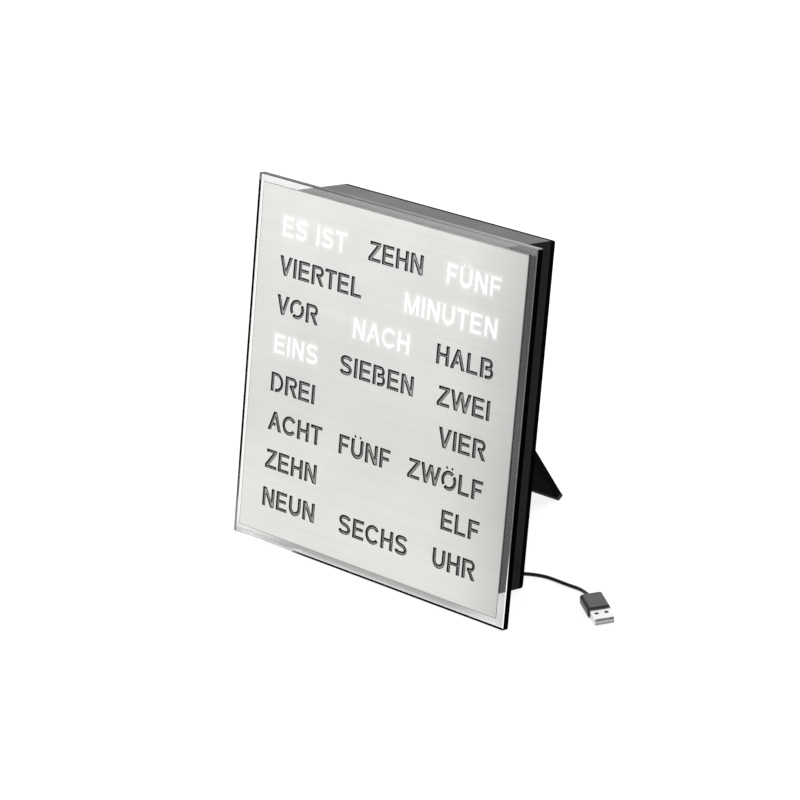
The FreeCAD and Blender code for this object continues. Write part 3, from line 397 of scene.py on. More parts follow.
def face_rim_group():
    """How far in from the steel's edges a point lies, from the right one and the rest, and how high it is."""
    tree, start, end = new_group(
        "face_rim",
        [("Position", "NodeSocketVector", None)],
        [
            ("From right", "NodeSocketFloat"),
            ("From others", "NodeSocketFloat"),
            ("Height", "NodeSocketFloat"),
        ],
    )
    across, _, height = split(tree, start.outputs["Position"])
    tree.links.new(maths(tree, "SUBTRACT", FACE_RIGHT, across), end.inputs["From right"])
    from_left = maths(tree, "SUBTRACT", across, FACE_LEFT)
    from_foot = maths(tree, "SUBTRACT", height, FACE_FOOT)
    from_top = maths(tree, "SUBTRACT", FACE_TOP, height)
    nearest = maths(tree, "MINIMUM", from_left, maths(tree, "MINIMUM", from_foot, from_top))
    tree.links.new(nearest, end.inputs["From others"])
    tree.links.new(height, end.inputs["Height"])
    return tree


plate_position = plate_position_group()
moulded_texture = moulded_texture_group()
brushed_lines = brushed_lines_group()
word_area = word_area_group()
face_rim = face_rim_group()


def new_finish(name):
    """A material with its Principled shader, its node tree and the plate-frame position."""
    material = bpy.data.materials.new(name)
    material.use_nodes = True
    tree = material.node_tree
    position = placed(tree, plate_position).outputs["Position"]
    return material, tree, tree.nodes["Principled BSDF"], position


def relief(tree, shader, height, distance, strength=1.0):
    """Lets a height stand up from the surface, by a distance in metres."""
    bump = tree.nodes.new("ShaderNodeBump")
    bump.inputs["Strength"].default_value = strength
    bump.inputs["Distance"].default_value = distance
    tree.links.new(height, bump.inputs["Height"])
    tree.links.new(bump.outputs["Normal"], shader.inputs["Normal"])


def near_lit_words(tree, position, soft_edge):
    """The lit words' areas together, each falling over the soft edge."""
    total = None
    for left, right, middle in LIT_WORDS.values():
        area = placed(
            tree,
            word_area,
            position,
            left=left - LIT_MARGIN,
            right=right + LIT_MARGIN,
            middle=middle,
            half_height=LIT_HALF_HEIGHT,
            soft_edge=soft_edge,
        )
        mask = area.outputs["Mask"]
        total = mask if total is None else maths(tree, "MAXIMUM", total, mask)
    return total


# ---------------------------------------------------------------- finishes
def even(level):
    """A grey that is equally red, green and blue."""
    return (level, level, level)


def moulded(name, dark, light, grain, gloss, depth, specular=0.5, coat=0.0):
    """Moulded plastic or rubber: two near tones mixed by its grain, and the grain's own relief."""
    material, tree, shader, position = new_finish(name)
    texture = placed(tree, moulded_texture, position, grain=grain, gloss_low=gloss[0], gloss_high=gloss[1])
    tree.links.new(blended(tree, texture.outputs["Tone"], dark, light), shader.inputs["Base Color"])
    tree.links.new(texture.outputs["Roughness"], shader.inputs["Roughness"])
    shader.inputs["Specular IOR Level"].default_value = specular
    shader.inputs["Coat Weight"].default_value = coat
    relief(tree, shader, texture.outputs["Height"], depth)
    return material


def machined(name, dark, light, line_width, line_length, gloss, depth):
    """Brushed, drawn or plated metal."""
    material, tree, shader, position = new_finish(name)
    texture = placed(
        tree,
        brushed_lines,
        position,
        line_width=line_width,
        line_length=line_length,
        gloss_low=gloss[0],
        gloss_high=gloss[1],
    )
    tree.links.new(blended(tree, texture.outputs["Tone"], dark, light), shader.inputs["Base Color"])
    tree.links.new(texture.outputs["Roughness"], shader.inputs["Roughness"])
    shader.inputs["Metallic"].default_value = 1.0
    relief(tree, shader, texture.outputs["Height"], depth)
    return material


def brushed_face():
    """The face's steel: painted shade darker toward the top and the right, dark along three of its edges, and lit
    by the mesh's glow attribute at the words.
    """
    shade_up, shade_up_between = 0.13, (20.0, 95.0)
    shade_right, shade_right_over = 0.23, 70.0
    rim_darkness, rim_between = 0.6, (0.25, 0.5)
    material, tree, shader, position = new_finish("brushed_face")
    lines = placed(
        tree,
        brushed_lines,
        position,
        line_width=0.16,
        line_length=12.0,
        gloss_low=0.36,
        gloss_high=0.48,
    )
    rim = placed(tree, face_rim, position)
    steel = blended(tree, lines.outputs["Tone"], (0.57, 0.575, 0.556), (0.69, 0.695, 0.674))
    # painted shade: the steel darker toward the top and, more steeply, toward the right
    upwards = spread(tree, rim.outputs["Height"], 0.0, shade_up, *shade_up_between)
    steel = blended(tree, upwards, steel, even(0.0))
    rightwards = spread(tree, rim.outputs["From right"], 1.0, 0.0, 0.0, shade_right_over)
    shade_toward_right = maths(tree, "MULTIPLY", maths(tree, "POWER", rightwards, 2.0), shade_right)
    steel = blended(tree, shade_toward_right, steel, even(0.0))
    # a thin dark line along the steel's left, top and foot edges
    dark_rim_line = spread(tree, rim.outputs["From others"], rim_darkness, 0.0, *rim_between)
    steel = blended(tree, dark_rim_line, steel, even(0.03))
    tree.links.new(steel, shader.inputs["Base Color"])
    tree.links.new(lines.outputs["Roughness"], shader.inputs["Roughness"])
    shader.inputs["Metallic"].default_value = 1.0
    relief(tree, shader, lines.outputs["Height"], 0.00001)
    glow = tree.nodes.new("ShaderNodeAttribute")
    glow.attribute_name = "glow"
    light = blended(tree, glow.outputs["Fac"], even(0.0), even(1.0))
    tree.links.new(light, shader.inputs["Emission Color"])
    shader.inputs["Emission Strength"].default_value = 1.0
    return material


def grey_film():
    """The light-spreading film: white where a word is lit, with a faint painted blue spill of light beside it, and
    grey elsewhere, painted lighter toward the top.
    """
    painted_lighter_between = (80.0, 170.0)
    blue_spill_reach = 26.0
    lit_soft_edge = 0.5
    half_thickness = 0.05
    material, tree, shader, position = new_finish("grey_film")
    texture = placed(tree, moulded_texture, position, grain=0.3, gloss_low=0.5, gloss_high=0.6)
    _, depth, height = split(tree, position)
    low = blended(tree, texture.outputs["Tone"], (0.32, 0.32, 0.305), (0.38, 0.38, 0.365))
    high = blended(tree, texture.outputs["Tone"], (0.4, 0.4, 0.385), (0.46, 0.46, 0.445))
    # painted light: the film's grey lighter toward the top
    plain = blended(tree, spread(tree, height, 0.0, 1.0, *painted_lighter_between), low, high)
    # painted light: a faint blue spill beside the lit words
    beside = near_lit_words(tree, position, blue_spill_reach)
    with_blue_spill = blended(tree, beside, plain, (0.41, 0.41, 0.5))
    tree.links.new(with_blue_spill, shader.inputs["Base Color"])
    tree.links.new(texture.outputs["Roughness"], shader.inputs["Roughness"])
    in_front = spread(tree, depth, 1.0, 0.0, FILM_MIDDLE - half_thickness, FILM_MIDDLE + half_thickness)
    lit = maths(tree, "MULTIPLY", near_lit_words(tree, position, lit_soft_edge), in_front)
    tree.links.new(blended(tree, lit, even(0.0), even(1.0)), shader.inputs["Emission Color"])
    shader.inputs["Emission Strength"].default_value = 0.84
    return material


def float_glass(name, transmission):
    """Glass with a trace of haze from handling, and its X and Z for a tint."""
    haze_scale, haze_between, most_haze = 0.05, (0.45, 0.75), 0.02
    material, tree, shader, position = new_finish(name)
    haze = noise(tree, position, haze_scale, 4.0)
    tree.links.new(spread(tree, haze, 0.0, most_haze, *haze_between), shader.inputs["Roughness"])
    shader.inputs["Transmission Weight"].default_value = transmission
    shader.inputs["IOR"].default_value = 1.5
    shader.inputs["Coat Weight"].default_value = 0.5
    across, _, height = split(tree, position)
    return material, tree, shader, across, height


def clear_glass():
    """The plate's clear glass, with a painted shadow along the foot but for a painted highlight line next to its
    dark foot strip; painted darker toward the right and at its right margin, and with painted shade over the foot
    left of the strip.
    """
    shade_middle, shade_ends, shade_left_over = 5.0, (65.0, 100.0), 0.25
    shade_top, shadow_grey_top = (6.0, 12.0), (1.0, 6.0)
    shaded_right_margin = (109.0, 110.5)
    highlight_line_top = (1.7, 2.0)
    bare_foot_left, bare_foot_top, bare_foot_blur = -105.0, (2.0, 3.6), 4
    material, tree, shader, across, height = float_glass("clear_glass", 1.0)
    # painted shadow along the foot, darkest over its middle
    off_shade = maths(tree, "ABSOLUTE", maths(tree, "SUBTRACT", across, shade_middle))
    along = spread(tree, off_shade, 1.0, shade_left_over, *shade_ends)
    shade = maths(tree, "MULTIPLY", along, spread(tree, height, 1.0, 0.0, *shade_top))
    upwards = spread(tree, height, 0.0, 1.0, *shadow_grey_top)
    grey = blended(tree, upwards, (0.54, 0.535, 0.53), (0.34, 0.335, 0.33))
    # painted shade: the clear tint darker toward the right and at the right margin
    rightwards = spread(tree, across, 0.0, 1.0, -PLATE_WIDTH / 2, PLATE_WIDTH / 2)
    clear = blended(tree, rightwards, (0.87, 0.87, 0.855), (0.8, 0.8, 0.79))
    clear = blended(tree, spread(tree, across, 0.0, 1.0, *shaded_right_margin), clear, (0.68, 0.68, 0.67))
    tint = blended(tree, shade, clear, grey)
    # painted highlight: a bright line just above the dark foot strip
    tint = blended(tree, spread(tree, height, 1.0, 0.0, *highlight_line_top), tint, (0.95, 0.95, 0.94))
    # painted shade over the foot left of the dark strip
    toward_strip = spread(tree, across, 0.0, 1.0, bare_foot_left, FOOT_STRIP_LEFT)
    foot = blended(tree, toward_strip, even(0.5), even(0.32))
    strip_ends = (FOOT_STRIP_LEFT - bare_foot_blur, FOOT_STRIP_LEFT + bare_foot_blur)
    past_strip = spread(tree, across, 1.0, 0.0, *strip_ends)
    bare_foot = maths(tree, "MULTIPLY", past_strip, spread(tree, height, 1.0, 0.0, *bare_foot_top))
    tint = blended(tree, bare_foot, tint, foot)
    tree.links.new(tint, shader.inputs["Base Color"])
    return material


def hazed_glass():
    """The plate's upper margin, which is a little milky, and painted lighter toward the right."""
    painted_lighter_between = (-80.0, 60.0)
    material, tree, shader, across, _ = float_glass("hazed_glass", 0.88)
    # painted light: the margin lighter toward the right
    rightwards = spread(tree, across, 0.0, 1.0, *painted_lighter_between)
    tree.links.new(blended(tree, rightwards, even(0.74), even(1.0)), shader.inputs["Base Color"])
    return material


def dark_reflection_edge():
    """The glass plate's edge faces and front strips, nearly black as a painted dark reflection, and painted greyer
    toward the foot of the left one.
    """
    grey_below = 50.0
    material, tree, shader, position = new_finish("dark_reflection_edge")
    texture = placed(tree, moulded_texture, position, grain=0.3, gloss_low=0.3, gloss_high=0.45)
    across, _, height = split(tree, position)
    leftmost = spread(tree, across, 1.0, 0.0, LEFT_STRIP, LEFT_STRIP + 1)
    toward_foot = spread(tree, height, 1.0, 0.0, 0.0, grey_below)
    dark = blended(tree, texture.outputs["Tone"], (0.0005, 0.0006, 0.0006), (0.002, 0.0025, 0.0025))
    greyer = maths(tree, "MULTIPLY", leftmost, toward_foot)
    tree.links.new(blended(tree, greyer, dark, even(0.3)), shader.inputs["Base Color"])
    tree.links.new(texture.outputs["Roughness"], shader.inputs["Roughness"])
    shader.inputs["Specular IOR Level"].default_value = 0.0
    return material


def top_edge():
    """The glass plate's top edge, frosted, with a painted reflection that leaves it nearly black at the left and
    lighter toward the right.
    """
    dark_left_of = -70.0
    material, tree, shader, position = new_finish("top_edge")
    texture = placed(tree, moulded_texture, position, grain=0.3, gloss_low=0.35, gloss_high=0.5)
    across, _, _ = split(tree, position)
    # painted reflection: nearly black at the left, frosted and lighter toward the right
    rightwards = spread(tree, across, 0.0, 1.0, dark_left_of, PLATE_WIDTH / 2)
    frost = blended(tree, texture.outputs["Tone"], (0.16, 0.16, 0.157), (0.27, 0.27, 0.265))
    tree.links.new(blended(tree, rightwards, even(0.008), frost), shader.inputs["Base Color"])
    tree.links.new(texture.outputs["Roughness"], shader.inputs["Roughness"])
    shader.inputs["Specular IOR Level"].default_value = 0.2
    return material


def bright_arris():
    """The polished arris down the glass plate's right side, a metal mirror for its reflection, with a painted
    highlight that grows toward the foot.
    """
    highlight_up_to = (28.0, 50.0)
    material, tree, shader, position = new_finish("bright_arris")
    texture = placed(tree, moulded_texture, position, grain=0.3, gloss_low=0.2, gloss_high=0.3)
    _, _, height = split(tree, position)
    # painted highlight: the arris white toward the foot
    toward_foot = spread(tree, height, 1.0, 0.0, *highlight_up_to)
    plain = blended(tree, texture.outputs["Tone"], even(0.15), even(0.2))
    tree.links.new(blended(tree, toward_foot, plain, even(1.0)), shader.inputs["Base Color"])
    tree.links.new(texture.outputs["Roughness"], shader.inputs["Roughness"])
    shader.inputs["Metallic"].default_value = 1.0
    return material


def circuit_board():
    """Green solder mask over copper tracks, which show as slightly lighter lines."""
    material, tree, shader, position = new_finish("circuit_board")
    tracks = tree.nodes.new("ShaderNodeTexBrick")
    tracks.inputs["Scale"].default_value = 0.12
    tracks.inputs["Mortar Size"].default_value = 0.05
    tracks.inputs["Brick Width"].default_value = 0.9
    tracks.inputs["Row Height"].default_value = 0.3
    tracks.inputs["Color1"].default_value = (0.012, 0.11, 0.045, 1)
    tracks.inputs["Color2"].default_value = (0.010, 0.095, 0.04, 1)
    tracks.inputs["Mortar"].default_value = (0.03, 0.2, 0.08, 1)
    upright = tree.nodes.new("ShaderNodeMapping")
    upright.inputs["Rotation"].default_value = (math.radians(90), 0, 0)
    tree.links.new(position, upright.inputs["Vector"])
    tree.links.new(upright.outputs["Vector"], tracks.inputs["Vector"])
    texture = placed(tree, moulded_texture, position, grain=0.5, gloss_low=0.22, gloss_high=0.34)
    tree.links.new(tracks.outputs["Color"], shader.inputs["Base Color"])
    tree.links.new(texture.outputs["Roughness"], shader.inputs["Roughness"])
    relief(tree, shader, tracks.outputs["Fac"], 0.00003, 0.5)
    return material


finishes = {
    "clear_glass": clear_glass(),
    "hazed_glass": hazed_glass(),
    "dark_reflection_edge": dark_reflection_edge(),
    "top_edge": top_edge(),
    "bright_arris": bright_arris(),
    "brushed_face": brushed_face(),
    # near black: the cut walls' oxide, darkened further as painted shade, and the painted shade lips
    "cut_edge": moulded("cut_edge", even(0.002), even(0.006), 0.1, (0.6, 0.75), 0.00003, 0.1),
    "grey_film": grey_film(),
    "black_foam": moulded("black_foam", even(0.006), even(0.02), 0.25, (0.8, 0.95), 0.00008, 0.2),
    "black_plastic": moulded("black_plastic", even(0.005), even(0.01), 0.22, (0.4, 0.52), 0.000015, 0.18),
    "satin_black": moulded(
        "satin_black", (0.002, 0.002, 0.0022), even(0.005), 0.22, (0.3, 0.4), 0.000012, 0.07
    ),
    "stand_black": moulded("stand_black", even(0.0015), even(0.006), 0.22, (0.7, 0.85), 0.000015, 0.02),
    "matt_black": moulded("matt_black", even(0.001), even(0.004), 0.22, (0.8, 0.9), 0.000012, 0.0),
    "white_plastic": moulded(
        "white_plastic", (0.74, 0.74, 0.72), (0.86, 0.86, 0.84), 0.4, (0.4, 0.5), 0.00001
    ),
    "circuit_board": circuit_board(),
    "lamp_white": moulded(
        "lamp_white", (0.78, 0.78, 0.68), (0.92, 0.92, 0.84), 0.8, (0.15, 0.25), 0.000005
    ),
    "chip_black": moulded("chip_black", even(0.012), even(0.03), 0.12, (0.4, 0.55), 0.00001),
    "connector_plastic": moulded(
        "connector_plastic", (0.66, 0.64, 0.55), (0.8, 0.78, 0.7), 0.3, (0.35, 0.45), 0.00001
    ),
    "connector_black": moulded("connector_black", even(0.01), even(0.025), 0.2, (0.35, 0.5), 0.00001),
    "crystal_can": machined("crystal_can", even(0.55), even(0.75), 0.1, 4.0, (0.15, 0.25), 0.000004),
    "capacitor_can": machined(
        "capacitor_can", (0.42, 0.44, 0.5), (0.6, 0.62, 0.68), 0.1, 6.0, (0.25, 0.35), 0.000004
    ),
    "cell_steel": machined("cell_steel", even(0.5), even(0.7), 0.08, 12.0, (0.2, 0.32), 0.000004),
    "zinc_steel": machined(
        "zinc_steel", (0.4, 0.41, 0.43), (0.62, 0.62, 0.63), 0.15, 1.5, (0.3, 0.45), 0.00001
    ),
    "black_steel": machined("black_steel", even(0.02), even(0.06), 0.12, 5.0, (0.35, 0.5), 0.00001),
    "black_rubber": moulded("black_rubber", even(0.008), even(0.02), 0.3, (0.65, 0.8), 0.00003, 0.3),
    "button_plastic": moulded(
        "button_plastic", even(0.014), even(0.026), 0.8, (0.16, 0.24), 0.000004, 0.5, 0.2
    ),
    "lead_sheath": moulded(
        "lead_sheath", (0.004, 0.004, 0.012), (0.014, 0.014, 0.034), 0.5, (0.35, 0.5), 0.00001, 0.35
    ),
    "plug_plastic": moulded("plug_plastic", even(0.008), even(0.02), 0.25, (0.4, 0.5), 0.00002),
    "plug_metal": machined("plug_metal", even(0.55), even(0.72), 0.08, 8.0, (0.18, 0.28), 0.000005),
    "tongue_plastic": moulded("tongue_plastic", even(0.7), even(0.82), 0.4, (0.3, 0.4), 0.000005),
}


# pieces whose finish is a variant of the one that the record names
OWN_FINISHES = {"stand": "stand_black"}


def dress_cad_nodes():
    """Gives each carried-over piece the finish that the record names for it, or its own variant of that."""
    for subpart in frame["record"]["subparts"]:
        piece = frame["nodes"][subpart["node"]]
        finish = finishes[OWN_FINISHES.get(subpart["node"], subpart["material_slot"])]
        if not piece.material_slots:
            piece.data.materials.append(finish)
        for slot in piece.material_slots:
            slot.material = finish


def plate_mesh(node):
    """A node's mesh in the plate's frame, with the points that lie in one place joined."""
    mesh = bmesh.new()
    mesh.from_mesh(frame["nodes"][node].data)
    bmesh.ops.remove_doubles(mesh, verts=mesh.verts, dist=ONE_POINT)
    mesh.transform(PART_FROM_PLATE.inverted())
    return mesh


def cut_along(mesh, point, normal):
    """Cuts a mesh's faces along a plane and keeps both sides."""
    everything = mesh.verts[:] + mesh.edges[:] + mesh.faces[:]
    bmesh.ops.bisect_plane(mesh, geom=everything, plane_co=point, plane_no=normal)


def finish_copy(mesh, name, node, names):
    """Turns a mesh in the plate's frame into a piece that takes a node's place, with the named finishes."""
    mesh.transform(PART_FROM_PLATE)
    data = bpy.data.meshes.new(name)
    mesh.to_mesh(data)
    mesh.free()
    for finish in names:
        data.materials.append(finishes[finish])
    piece = bpy.data.objects.new(name, data)
    scene.collection.objects.link(piece)
    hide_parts(node)
    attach(piece, "clock")


# ---------------------------------------------------------------- face
# finishes of the steel, by their place in its list
STEEL, CUT_EDGE = range(2)
# the lip inside each letter, a sheet of painted shade or of glow; at a sharp corner it's at most its width divided
# by its mitre wide
LIP_WIDTH = 0.72
LIP_MITRE = 0.5
LIP_THICKNESS = 0.05
# how far it lies behind the front, how far it goes into the steel and how far a dark one is let down, into a
# painted shadow under the letter's top edge
LIP_DEPTH = 0.15
LIP_ROOT = 0.03
LIP_SHADOW_DROP = 0.36
# how brightly the rim of a lit one shines
LIP_GLOW = 0.45
# the glow's grid: its step, how far it goes round a word and how far it stays from a letter's edge
GLOW_STEP = 0.6
GLOW_ROOM = 4.0
GLOW_GAP = 0.4 * GLOW_STEP
# the glow's two parts, each a level at the letter's edge and a reach
GLOW_NEAR = (0.08, 0.6)
GLOW_FAR = (0.04, 1.8)


def beside_lit_word(x, z, reach):
    """Whether a spot on the plate is within reach of a lit word's area."""
    return any(
        left - reach < x < right + reach and abs(z - middle) < LIT_HALF_HEIGHT + reach
        for left, right, middle in LIT_WORDS.values()
    )


def tree_along(edges, step):
    """A search tree of points along the edges, a step or less apart."""
    points = []
    for edge in edges:
        start, end = (vert.co for vert in edge.verts)
        count = max(1, math.ceil((end - start).length / step))
        points += [start.lerp(end, index / count) for index in range(count + 1)]
    tree = KDTree(len(points))
    for index, point in enumerate(points):
        tree.insert((point.x, 0.0, point.z), index)
    tree.balance()
    return tree


def glow_at(distance):
    """How brightly the steel shines at a distance from a lit letter's edge."""
    return sum(level * math.exp(-((distance / reach) ** 2)) for level, reach in (GLOW_NEAR, GLOW_FAR))


def glow_grid(lit_edges):
    """Points over the steel round the lit words, every other row staggered, none close to a letter's edge."""
    points = []
    for left, right, middle in LIT_WORDS.values():
        columns = int((right - left + 2 * GLOW_ROOM) / GLOW_STEP)
        rows = int(2 * (LIT_HALF_HEIGHT + GLOW_ROOM) / GLOW_STEP)
        for column in range(columns + 1):
            for row in range(rows + 1):
                stagger = 0.5 * (row % 2)
                x = left - GLOW_ROOM + (column + stagger) * GLOW_STEP
                z = middle - LIT_HALF_HEIGHT - GLOW_ROOM + row * GLOW_STEP
                if lit_edges.find((x, 0.0, z))[2] > GLOW_GAP:
                    points.append(Vector((x, z)))
    return points


def closed_loops(edges):
    """The edges' vertices in order round each loop, anticlockwise as seen from the front."""
    beside = {}
    for edge in edges:
        first, second = edge.verts
        beside.setdefault(first, []).append(second)
        beside.setdefault(second, []).append(first)
    loops = []
    left = dict.fromkeys(beside)
    while left:
        loop = [left.popitem()[0]]
        while onward := [vert for vert in beside[loop[-1]] if vert in left]:
            loop.append(onward[0])
            del left[onward[0]]
        area = sum(a.co.x * b.co.z - b.co.x * a.co.z for a, b in zip(loop, loop[1:] + loop[:1]))
        loops.append(loop if area > 0 else loop[::-1])
    return loops


def shade_and_glow_lip(mesh, corners, depth, dark, glow):
    """A thin lip inside a letter's edge: a dark sheet of painted shade, let down into a painted shadow under the
    top edge, or lit where its word is.
    """
    # a dark lip is let down, so it is wider under the letter's top edge as its painted shadow
    drop = Vector((0.0, -LIP_SHADOW_DROP if dark else 0.0))
    rings = ([], [], [], [])
    for before, corner, after in zip(corners[-1:] + corners[:-1], corners, corners[1:] + corners[:1]):
        arriving = (corner - before).normalized()
        leaving = (after - corner).normalized()
        inward = Vector((-arriving.y - leaving.y, arriving.x + leaving.x)).normalized()
        reach = LIP_WIDTH / max(LIP_MITRE, inward.dot(Vector((-leaving.y, leaving.x))))
        root = corner - inward * LIP_ROOT
        rim = corner + inward * reach + drop
        back = depth + LIP_THICKNESS
        section = (
            (root, depth, glow_at(0.0)),
            (rim, depth, LIP_GLOW),
            (rim, back, LIP_GLOW),
            (root, back, glow_at(0.0)),
        )
        for ring, (spot, y, level) in zip(rings, section):
            ring.append(mesh.verts.new((spot.x, y, spot.y)))
            ring[-1][glow] = level
    for index in range(len(corners)):
        following = (index + 1) % len(corners)
        for ring, beside in zip(rings, rings[1:] + rings[:1]):
            lip = mesh.faces.new((ring[index], ring[following], beside[following], beside[index]))
            lip.material_index = CUT_EDGE if dark else STEEL


def fill_front(mesh, depth, rims, lit_edges):
    """Fills the open front between its rims, with points close together round the lit words."""
    keep_inside = 1
    tolerance = 0.00001
    seam = 0.0005
    points = []
    numbered_rims = []
    for rim in rims:
        numbered_rims.append(list(range(len(points), len(points) + len(rim))))
        points += rim
    points += glow_grid(lit_edges)
    spots, _, triangles, _, _, within = delaunay_2d_cdt(points, [], numbered_rims, keep_inside, tolerance)
    steel = [triangle for triangle, holders in zip(triangles, within) if len(holders) == 1]
    used = {index for triangle in steel for index in triangle}
    verts = {index: mesh.verts.new((spots[index].x, depth, spots[index].y)) for index in used}
    for triangle in steel:
        mesh.faces.new([verts[index] for index in triangle])
    bmesh.ops.remove_doubles(mesh, verts=mesh.verts, dist=seam)


def off_steel_edge(x, z):
    """Whether a spot lies clear of the steel's own edges, as the letters' edges do."""
    hair = 0.01
    return abs(x) < FACE_RIGHT - hair and FACE_FOOT + hair < z < FACE_TOP - hair


def lit_face():
    """The steel face with the same shape, its front cut finely round the lit words to carry their glow."""
    sample_step = 0.15
    mesh = plate_mesh("face_plate")
    front = min(vert.co.y for vert in mesh.verts)
    for face in mesh.faces:
        face.tag = all(vert.co.y - front < ONE_FACE for vert in face.verts)
    outline = [edge for edge in mesh.edges if sum(face.tag for face in edge.link_faces) == 1]
    rims = [[vert.co.xz for vert in loop] for loop in closed_loops(outline)]
    lit_outline = [edge for edge in outline if beside_lit_word(*edge.verts[0].co.xz, LIT_MARGIN)]
    lit_edges = tree_along(lit_outline, sample_step)
    bmesh.ops.delete(mesh, geom=[face for face in mesh.faces if face.tag], context="FACES_ONLY")
    fill_front(mesh, front, rims, lit_edges)
    glow = mesh.verts.layers.float.new("glow")
    for vert in mesh.verts:
        if beside_lit_word(*vert.co.xz, GLOW_ROOM):
            vert[glow] = glow_at(lit_edges.find((vert.co.x, 0.0, vert.co.z))[2])
    # the walls of unlit letters take the near-black cut_edge: oxide darkened by painted shade
    for face in mesh.faces:
        x, z = face.calc_center_median().xz
        if abs(face.normal.y) < FACING and off_steel_edge(x, z) and not beside_lit_word(x, z, LIT_MARGIN):
            face.material_index = CUT_EDGE
    for rim in rims:
        if all(off_steel_edge(*corner) for corner in rim):
            shade_and_glow_lip(mesh, rim, front + LIP_DEPTH, not beside_lit_word(*rim[0], LIT_MARGIN), glow)
    finish_copy(mesh, "lit_face", "face_plate", ("brushed_face", "cut_edge"))


# ---------------------------------------------------------------- housing
HOUSING_FINISHES = ("satin_black", "matt_black", "black_plastic")


def satin_housing():
    """The housing with the same shape, satin but for the matt last of its depth and its plain back."""
    facing_back = 0.7
    satin, matt, plain = range(len(HOUSING_FINISHES))
    mesh = plate_mesh("housing")
    cut_along(mesh, (0, MATT_FROM, 0), (0, 1, 0))
    mesh.normal_update()
    for face in mesh.faces:
        if face.normal.y > facing_back:
            face.material_index = plain
        else:
            face.material_index = matt if face.calc_center_median().y > MATT_FROM else satin
    finish_copy(mesh, "satin_housing", "housing", HOUSING_FINISHES)


# ---------------------------------------------------------------- glass
PLATE_FINISHES = ("clear_glass", "dark_reflection_edge", "top_edge", "bright_arris", "hazed_glass")
# how far the plate's faces lie inside the solid's, so that they touch no neighbour's face
FACE_HAIR = 0.02


def edge_finish(normal, middle):
    """Which of the plate's finishes a face has, by the way that it faces and where it lies."""
    clear, ground, top, arris, hazed = range(len(PLATE_FINISHES))
    # ground: the painted dark reflection on the edges and the strips beside them
    in_left_strip = middle.x < LEFT_STRIP
    in_foot_strip = middle.z < FOOT_STRIP * min(1.0, (middle.x - FOOT_STRIP_LEFT) / FOOT_TAPER)
    if normal.z > FACING:
        return top
    if normal.x > FACING:
        return arris if normal.y < -FACING and not in_foot_strip else ground
    if normal.y < -FACING and middle.z > FACE_TOP:
        return hazed
    if normal.y < -FACING:
        return ground if in_left_strip or in_foot_strip else clear
    return ground if normal.z < -FACING and in_foot_strip else clear


def clear_plate():
    """The glass plate with the dark strips of painted edge reflection cut into its faces."""
    mesh = plate_mesh("glass_plate")
    front = min(vert.co.y for vert in mesh.verts)
    rear = max(vert.co.y for vert in mesh.verts)
    for vert in mesh.verts:
        if vert.co.y < front + ONE_FACE:
            vert.co.y += FACE_HAIR
        elif vert.co.y > rear - ONE_FACE:
            vert.co.y -= FACE_HAIR
    cuts = (
        ((LEFT_STRIP, 0, 0), (1, 0, 0)),
        ((FOOT_STRIP_LEFT, 0, 0), (-FOOT_STRIP, 0, FOOT_TAPER)),
        ((0, 0, FOOT_STRIP), (0, 0, 1)),
        ((0, 0, FACE_TOP), (0, 0, 1)),
    )
    for point, normal in cuts:
        cut_along(mesh, point, normal)
    mesh.normal_update()
    for face in mesh.faces:
        face.material_index = edge_finish(face.normal, face.calc_center_median())
    finish_copy(mesh, "clear_plate", "glass_plate", PLATE_FINISHES)


# ---------------------------------------------------------------- floor and light
def seen_directly(tree):
    """One for the camera's own rays and for those that gloss or glass send on, nought for soft light."""
    path = tree.nodes.new("ShaderNodeLightPath")
    either = maths(tree, "MAXIMUM", path.outputs["Is Camera Ray"], path.outputs["Is Glossy Ray"])
    return maths(tree, "MAXIMUM", either, path.outputs["Is Transmission Ray"])


def white_surroundings():
    """White all round, which lights the clock less than it is seen."""
    soft_strength, seen_strength = 0.45, 1.0
    world = bpy.data.worlds.new("white_surroundings")
    world.use_nodes = True
    tree = world.node_tree
    background = tree.nodes["Background"]
    background.inputs["Color"].default_value = (1, 1, 1, 1)
    strength = spread(tree, seen_directly(tree), soft_strength, seen_strength)
    tree.links.new(strength, background.inputs["Strength"])
    scene.world = world


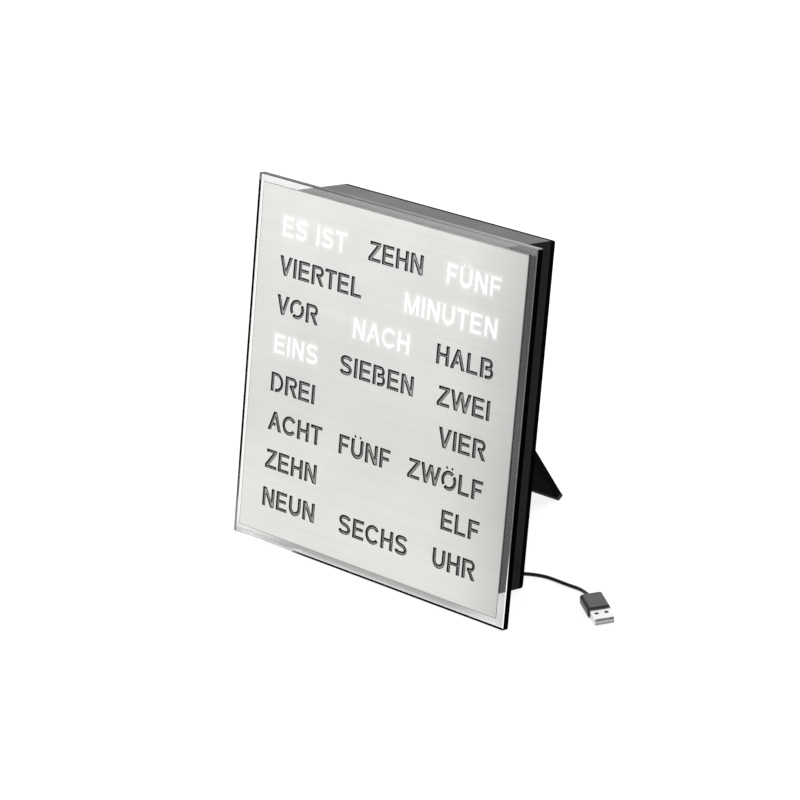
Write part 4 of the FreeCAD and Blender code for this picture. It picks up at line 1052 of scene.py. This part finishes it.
def studio_floor():
    """A white floor that keeps a soft shadow. It shines where it is seen, and is matt for soft light."""
    side = 8
    bpy.ops.mesh.primitive_plane_add(size=side)
    floor = bpy.context.object
    floor.name = "floor"
    material = bpy.data.materials.new("white_floor")
    material.use_nodes = True
    tree = material.node_tree
    tree.nodes.remove(tree.nodes["Principled BSDF"])
    matt = tree.nodes.new("ShaderNodeBsdfDiffuse")
    matt.inputs["Color"].default_value = (0.75, 0.75, 0.75, 1)
    pale = tree.nodes.new("ShaderNodeBsdfDiffuse")
    pale.inputs["Color"].default_value = (0.3, 0.3, 0.3, 1)
    shine = tree.nodes.new("ShaderNodeEmission")
    shine.inputs["Strength"].default_value = 0.85
    both = tree.nodes.new("ShaderNodeAddShader")
    tree.links.new(pale.outputs["BSDF"], both.inputs[0])
    tree.links.new(shine.outputs["Emission"], both.inputs[1])
    choice = tree.nodes.new("ShaderNodeMixShader")
    tree.links.new(seen_directly(tree), choice.inputs["Fac"])
    tree.links.new(matt.outputs["BSDF"], choice.inputs[1])
    tree.links.new(both.outputs["Shader"], choice.inputs[2])
    tree.links.new(choice.outputs["Shader"], tree.nodes["Material Output"].inputs["Surface"])
    floor.data.materials.append(material)


def soft_lamp(name, position, target, size, power):
    """A square lamp that faces a target, in metres and watts."""
    data = bpy.data.lights.new(name, "AREA")
    data.shape = "SQUARE"
    data.size = size
    data.energy = power
    lamp = bpy.data.objects.new(name, data)
    scene.collection.objects.link(lamp)
    lamp.location = position
    lamp.rotation_euler = (Vector(target) - Vector(position)).to_track_quat("-Z", "Y").to_euler()


dress_cad_nodes()
lit_face()
clear_plate()
satin_housing()
power_lead()
white_surroundings()
studio_floor()
soft_lamp("key_lamp", (-1.0, -1.0, 0.9), (0, 0, 0.12), 0.7, 14.0)
soft_lamp("top_lamp", (0.1, 0.3, 1.7), (0, 0, 0.1), 1.2, 12.0)
soft_lamp("back_lamp", (-1.15, 1.3, 0.55), (0, 0, 0.2), 0.6, 1.65)
soft_lamp("rear_lamp", (0.1, 1.7, 0.8), (0, 0, 0.12), 0.9, 5.0)
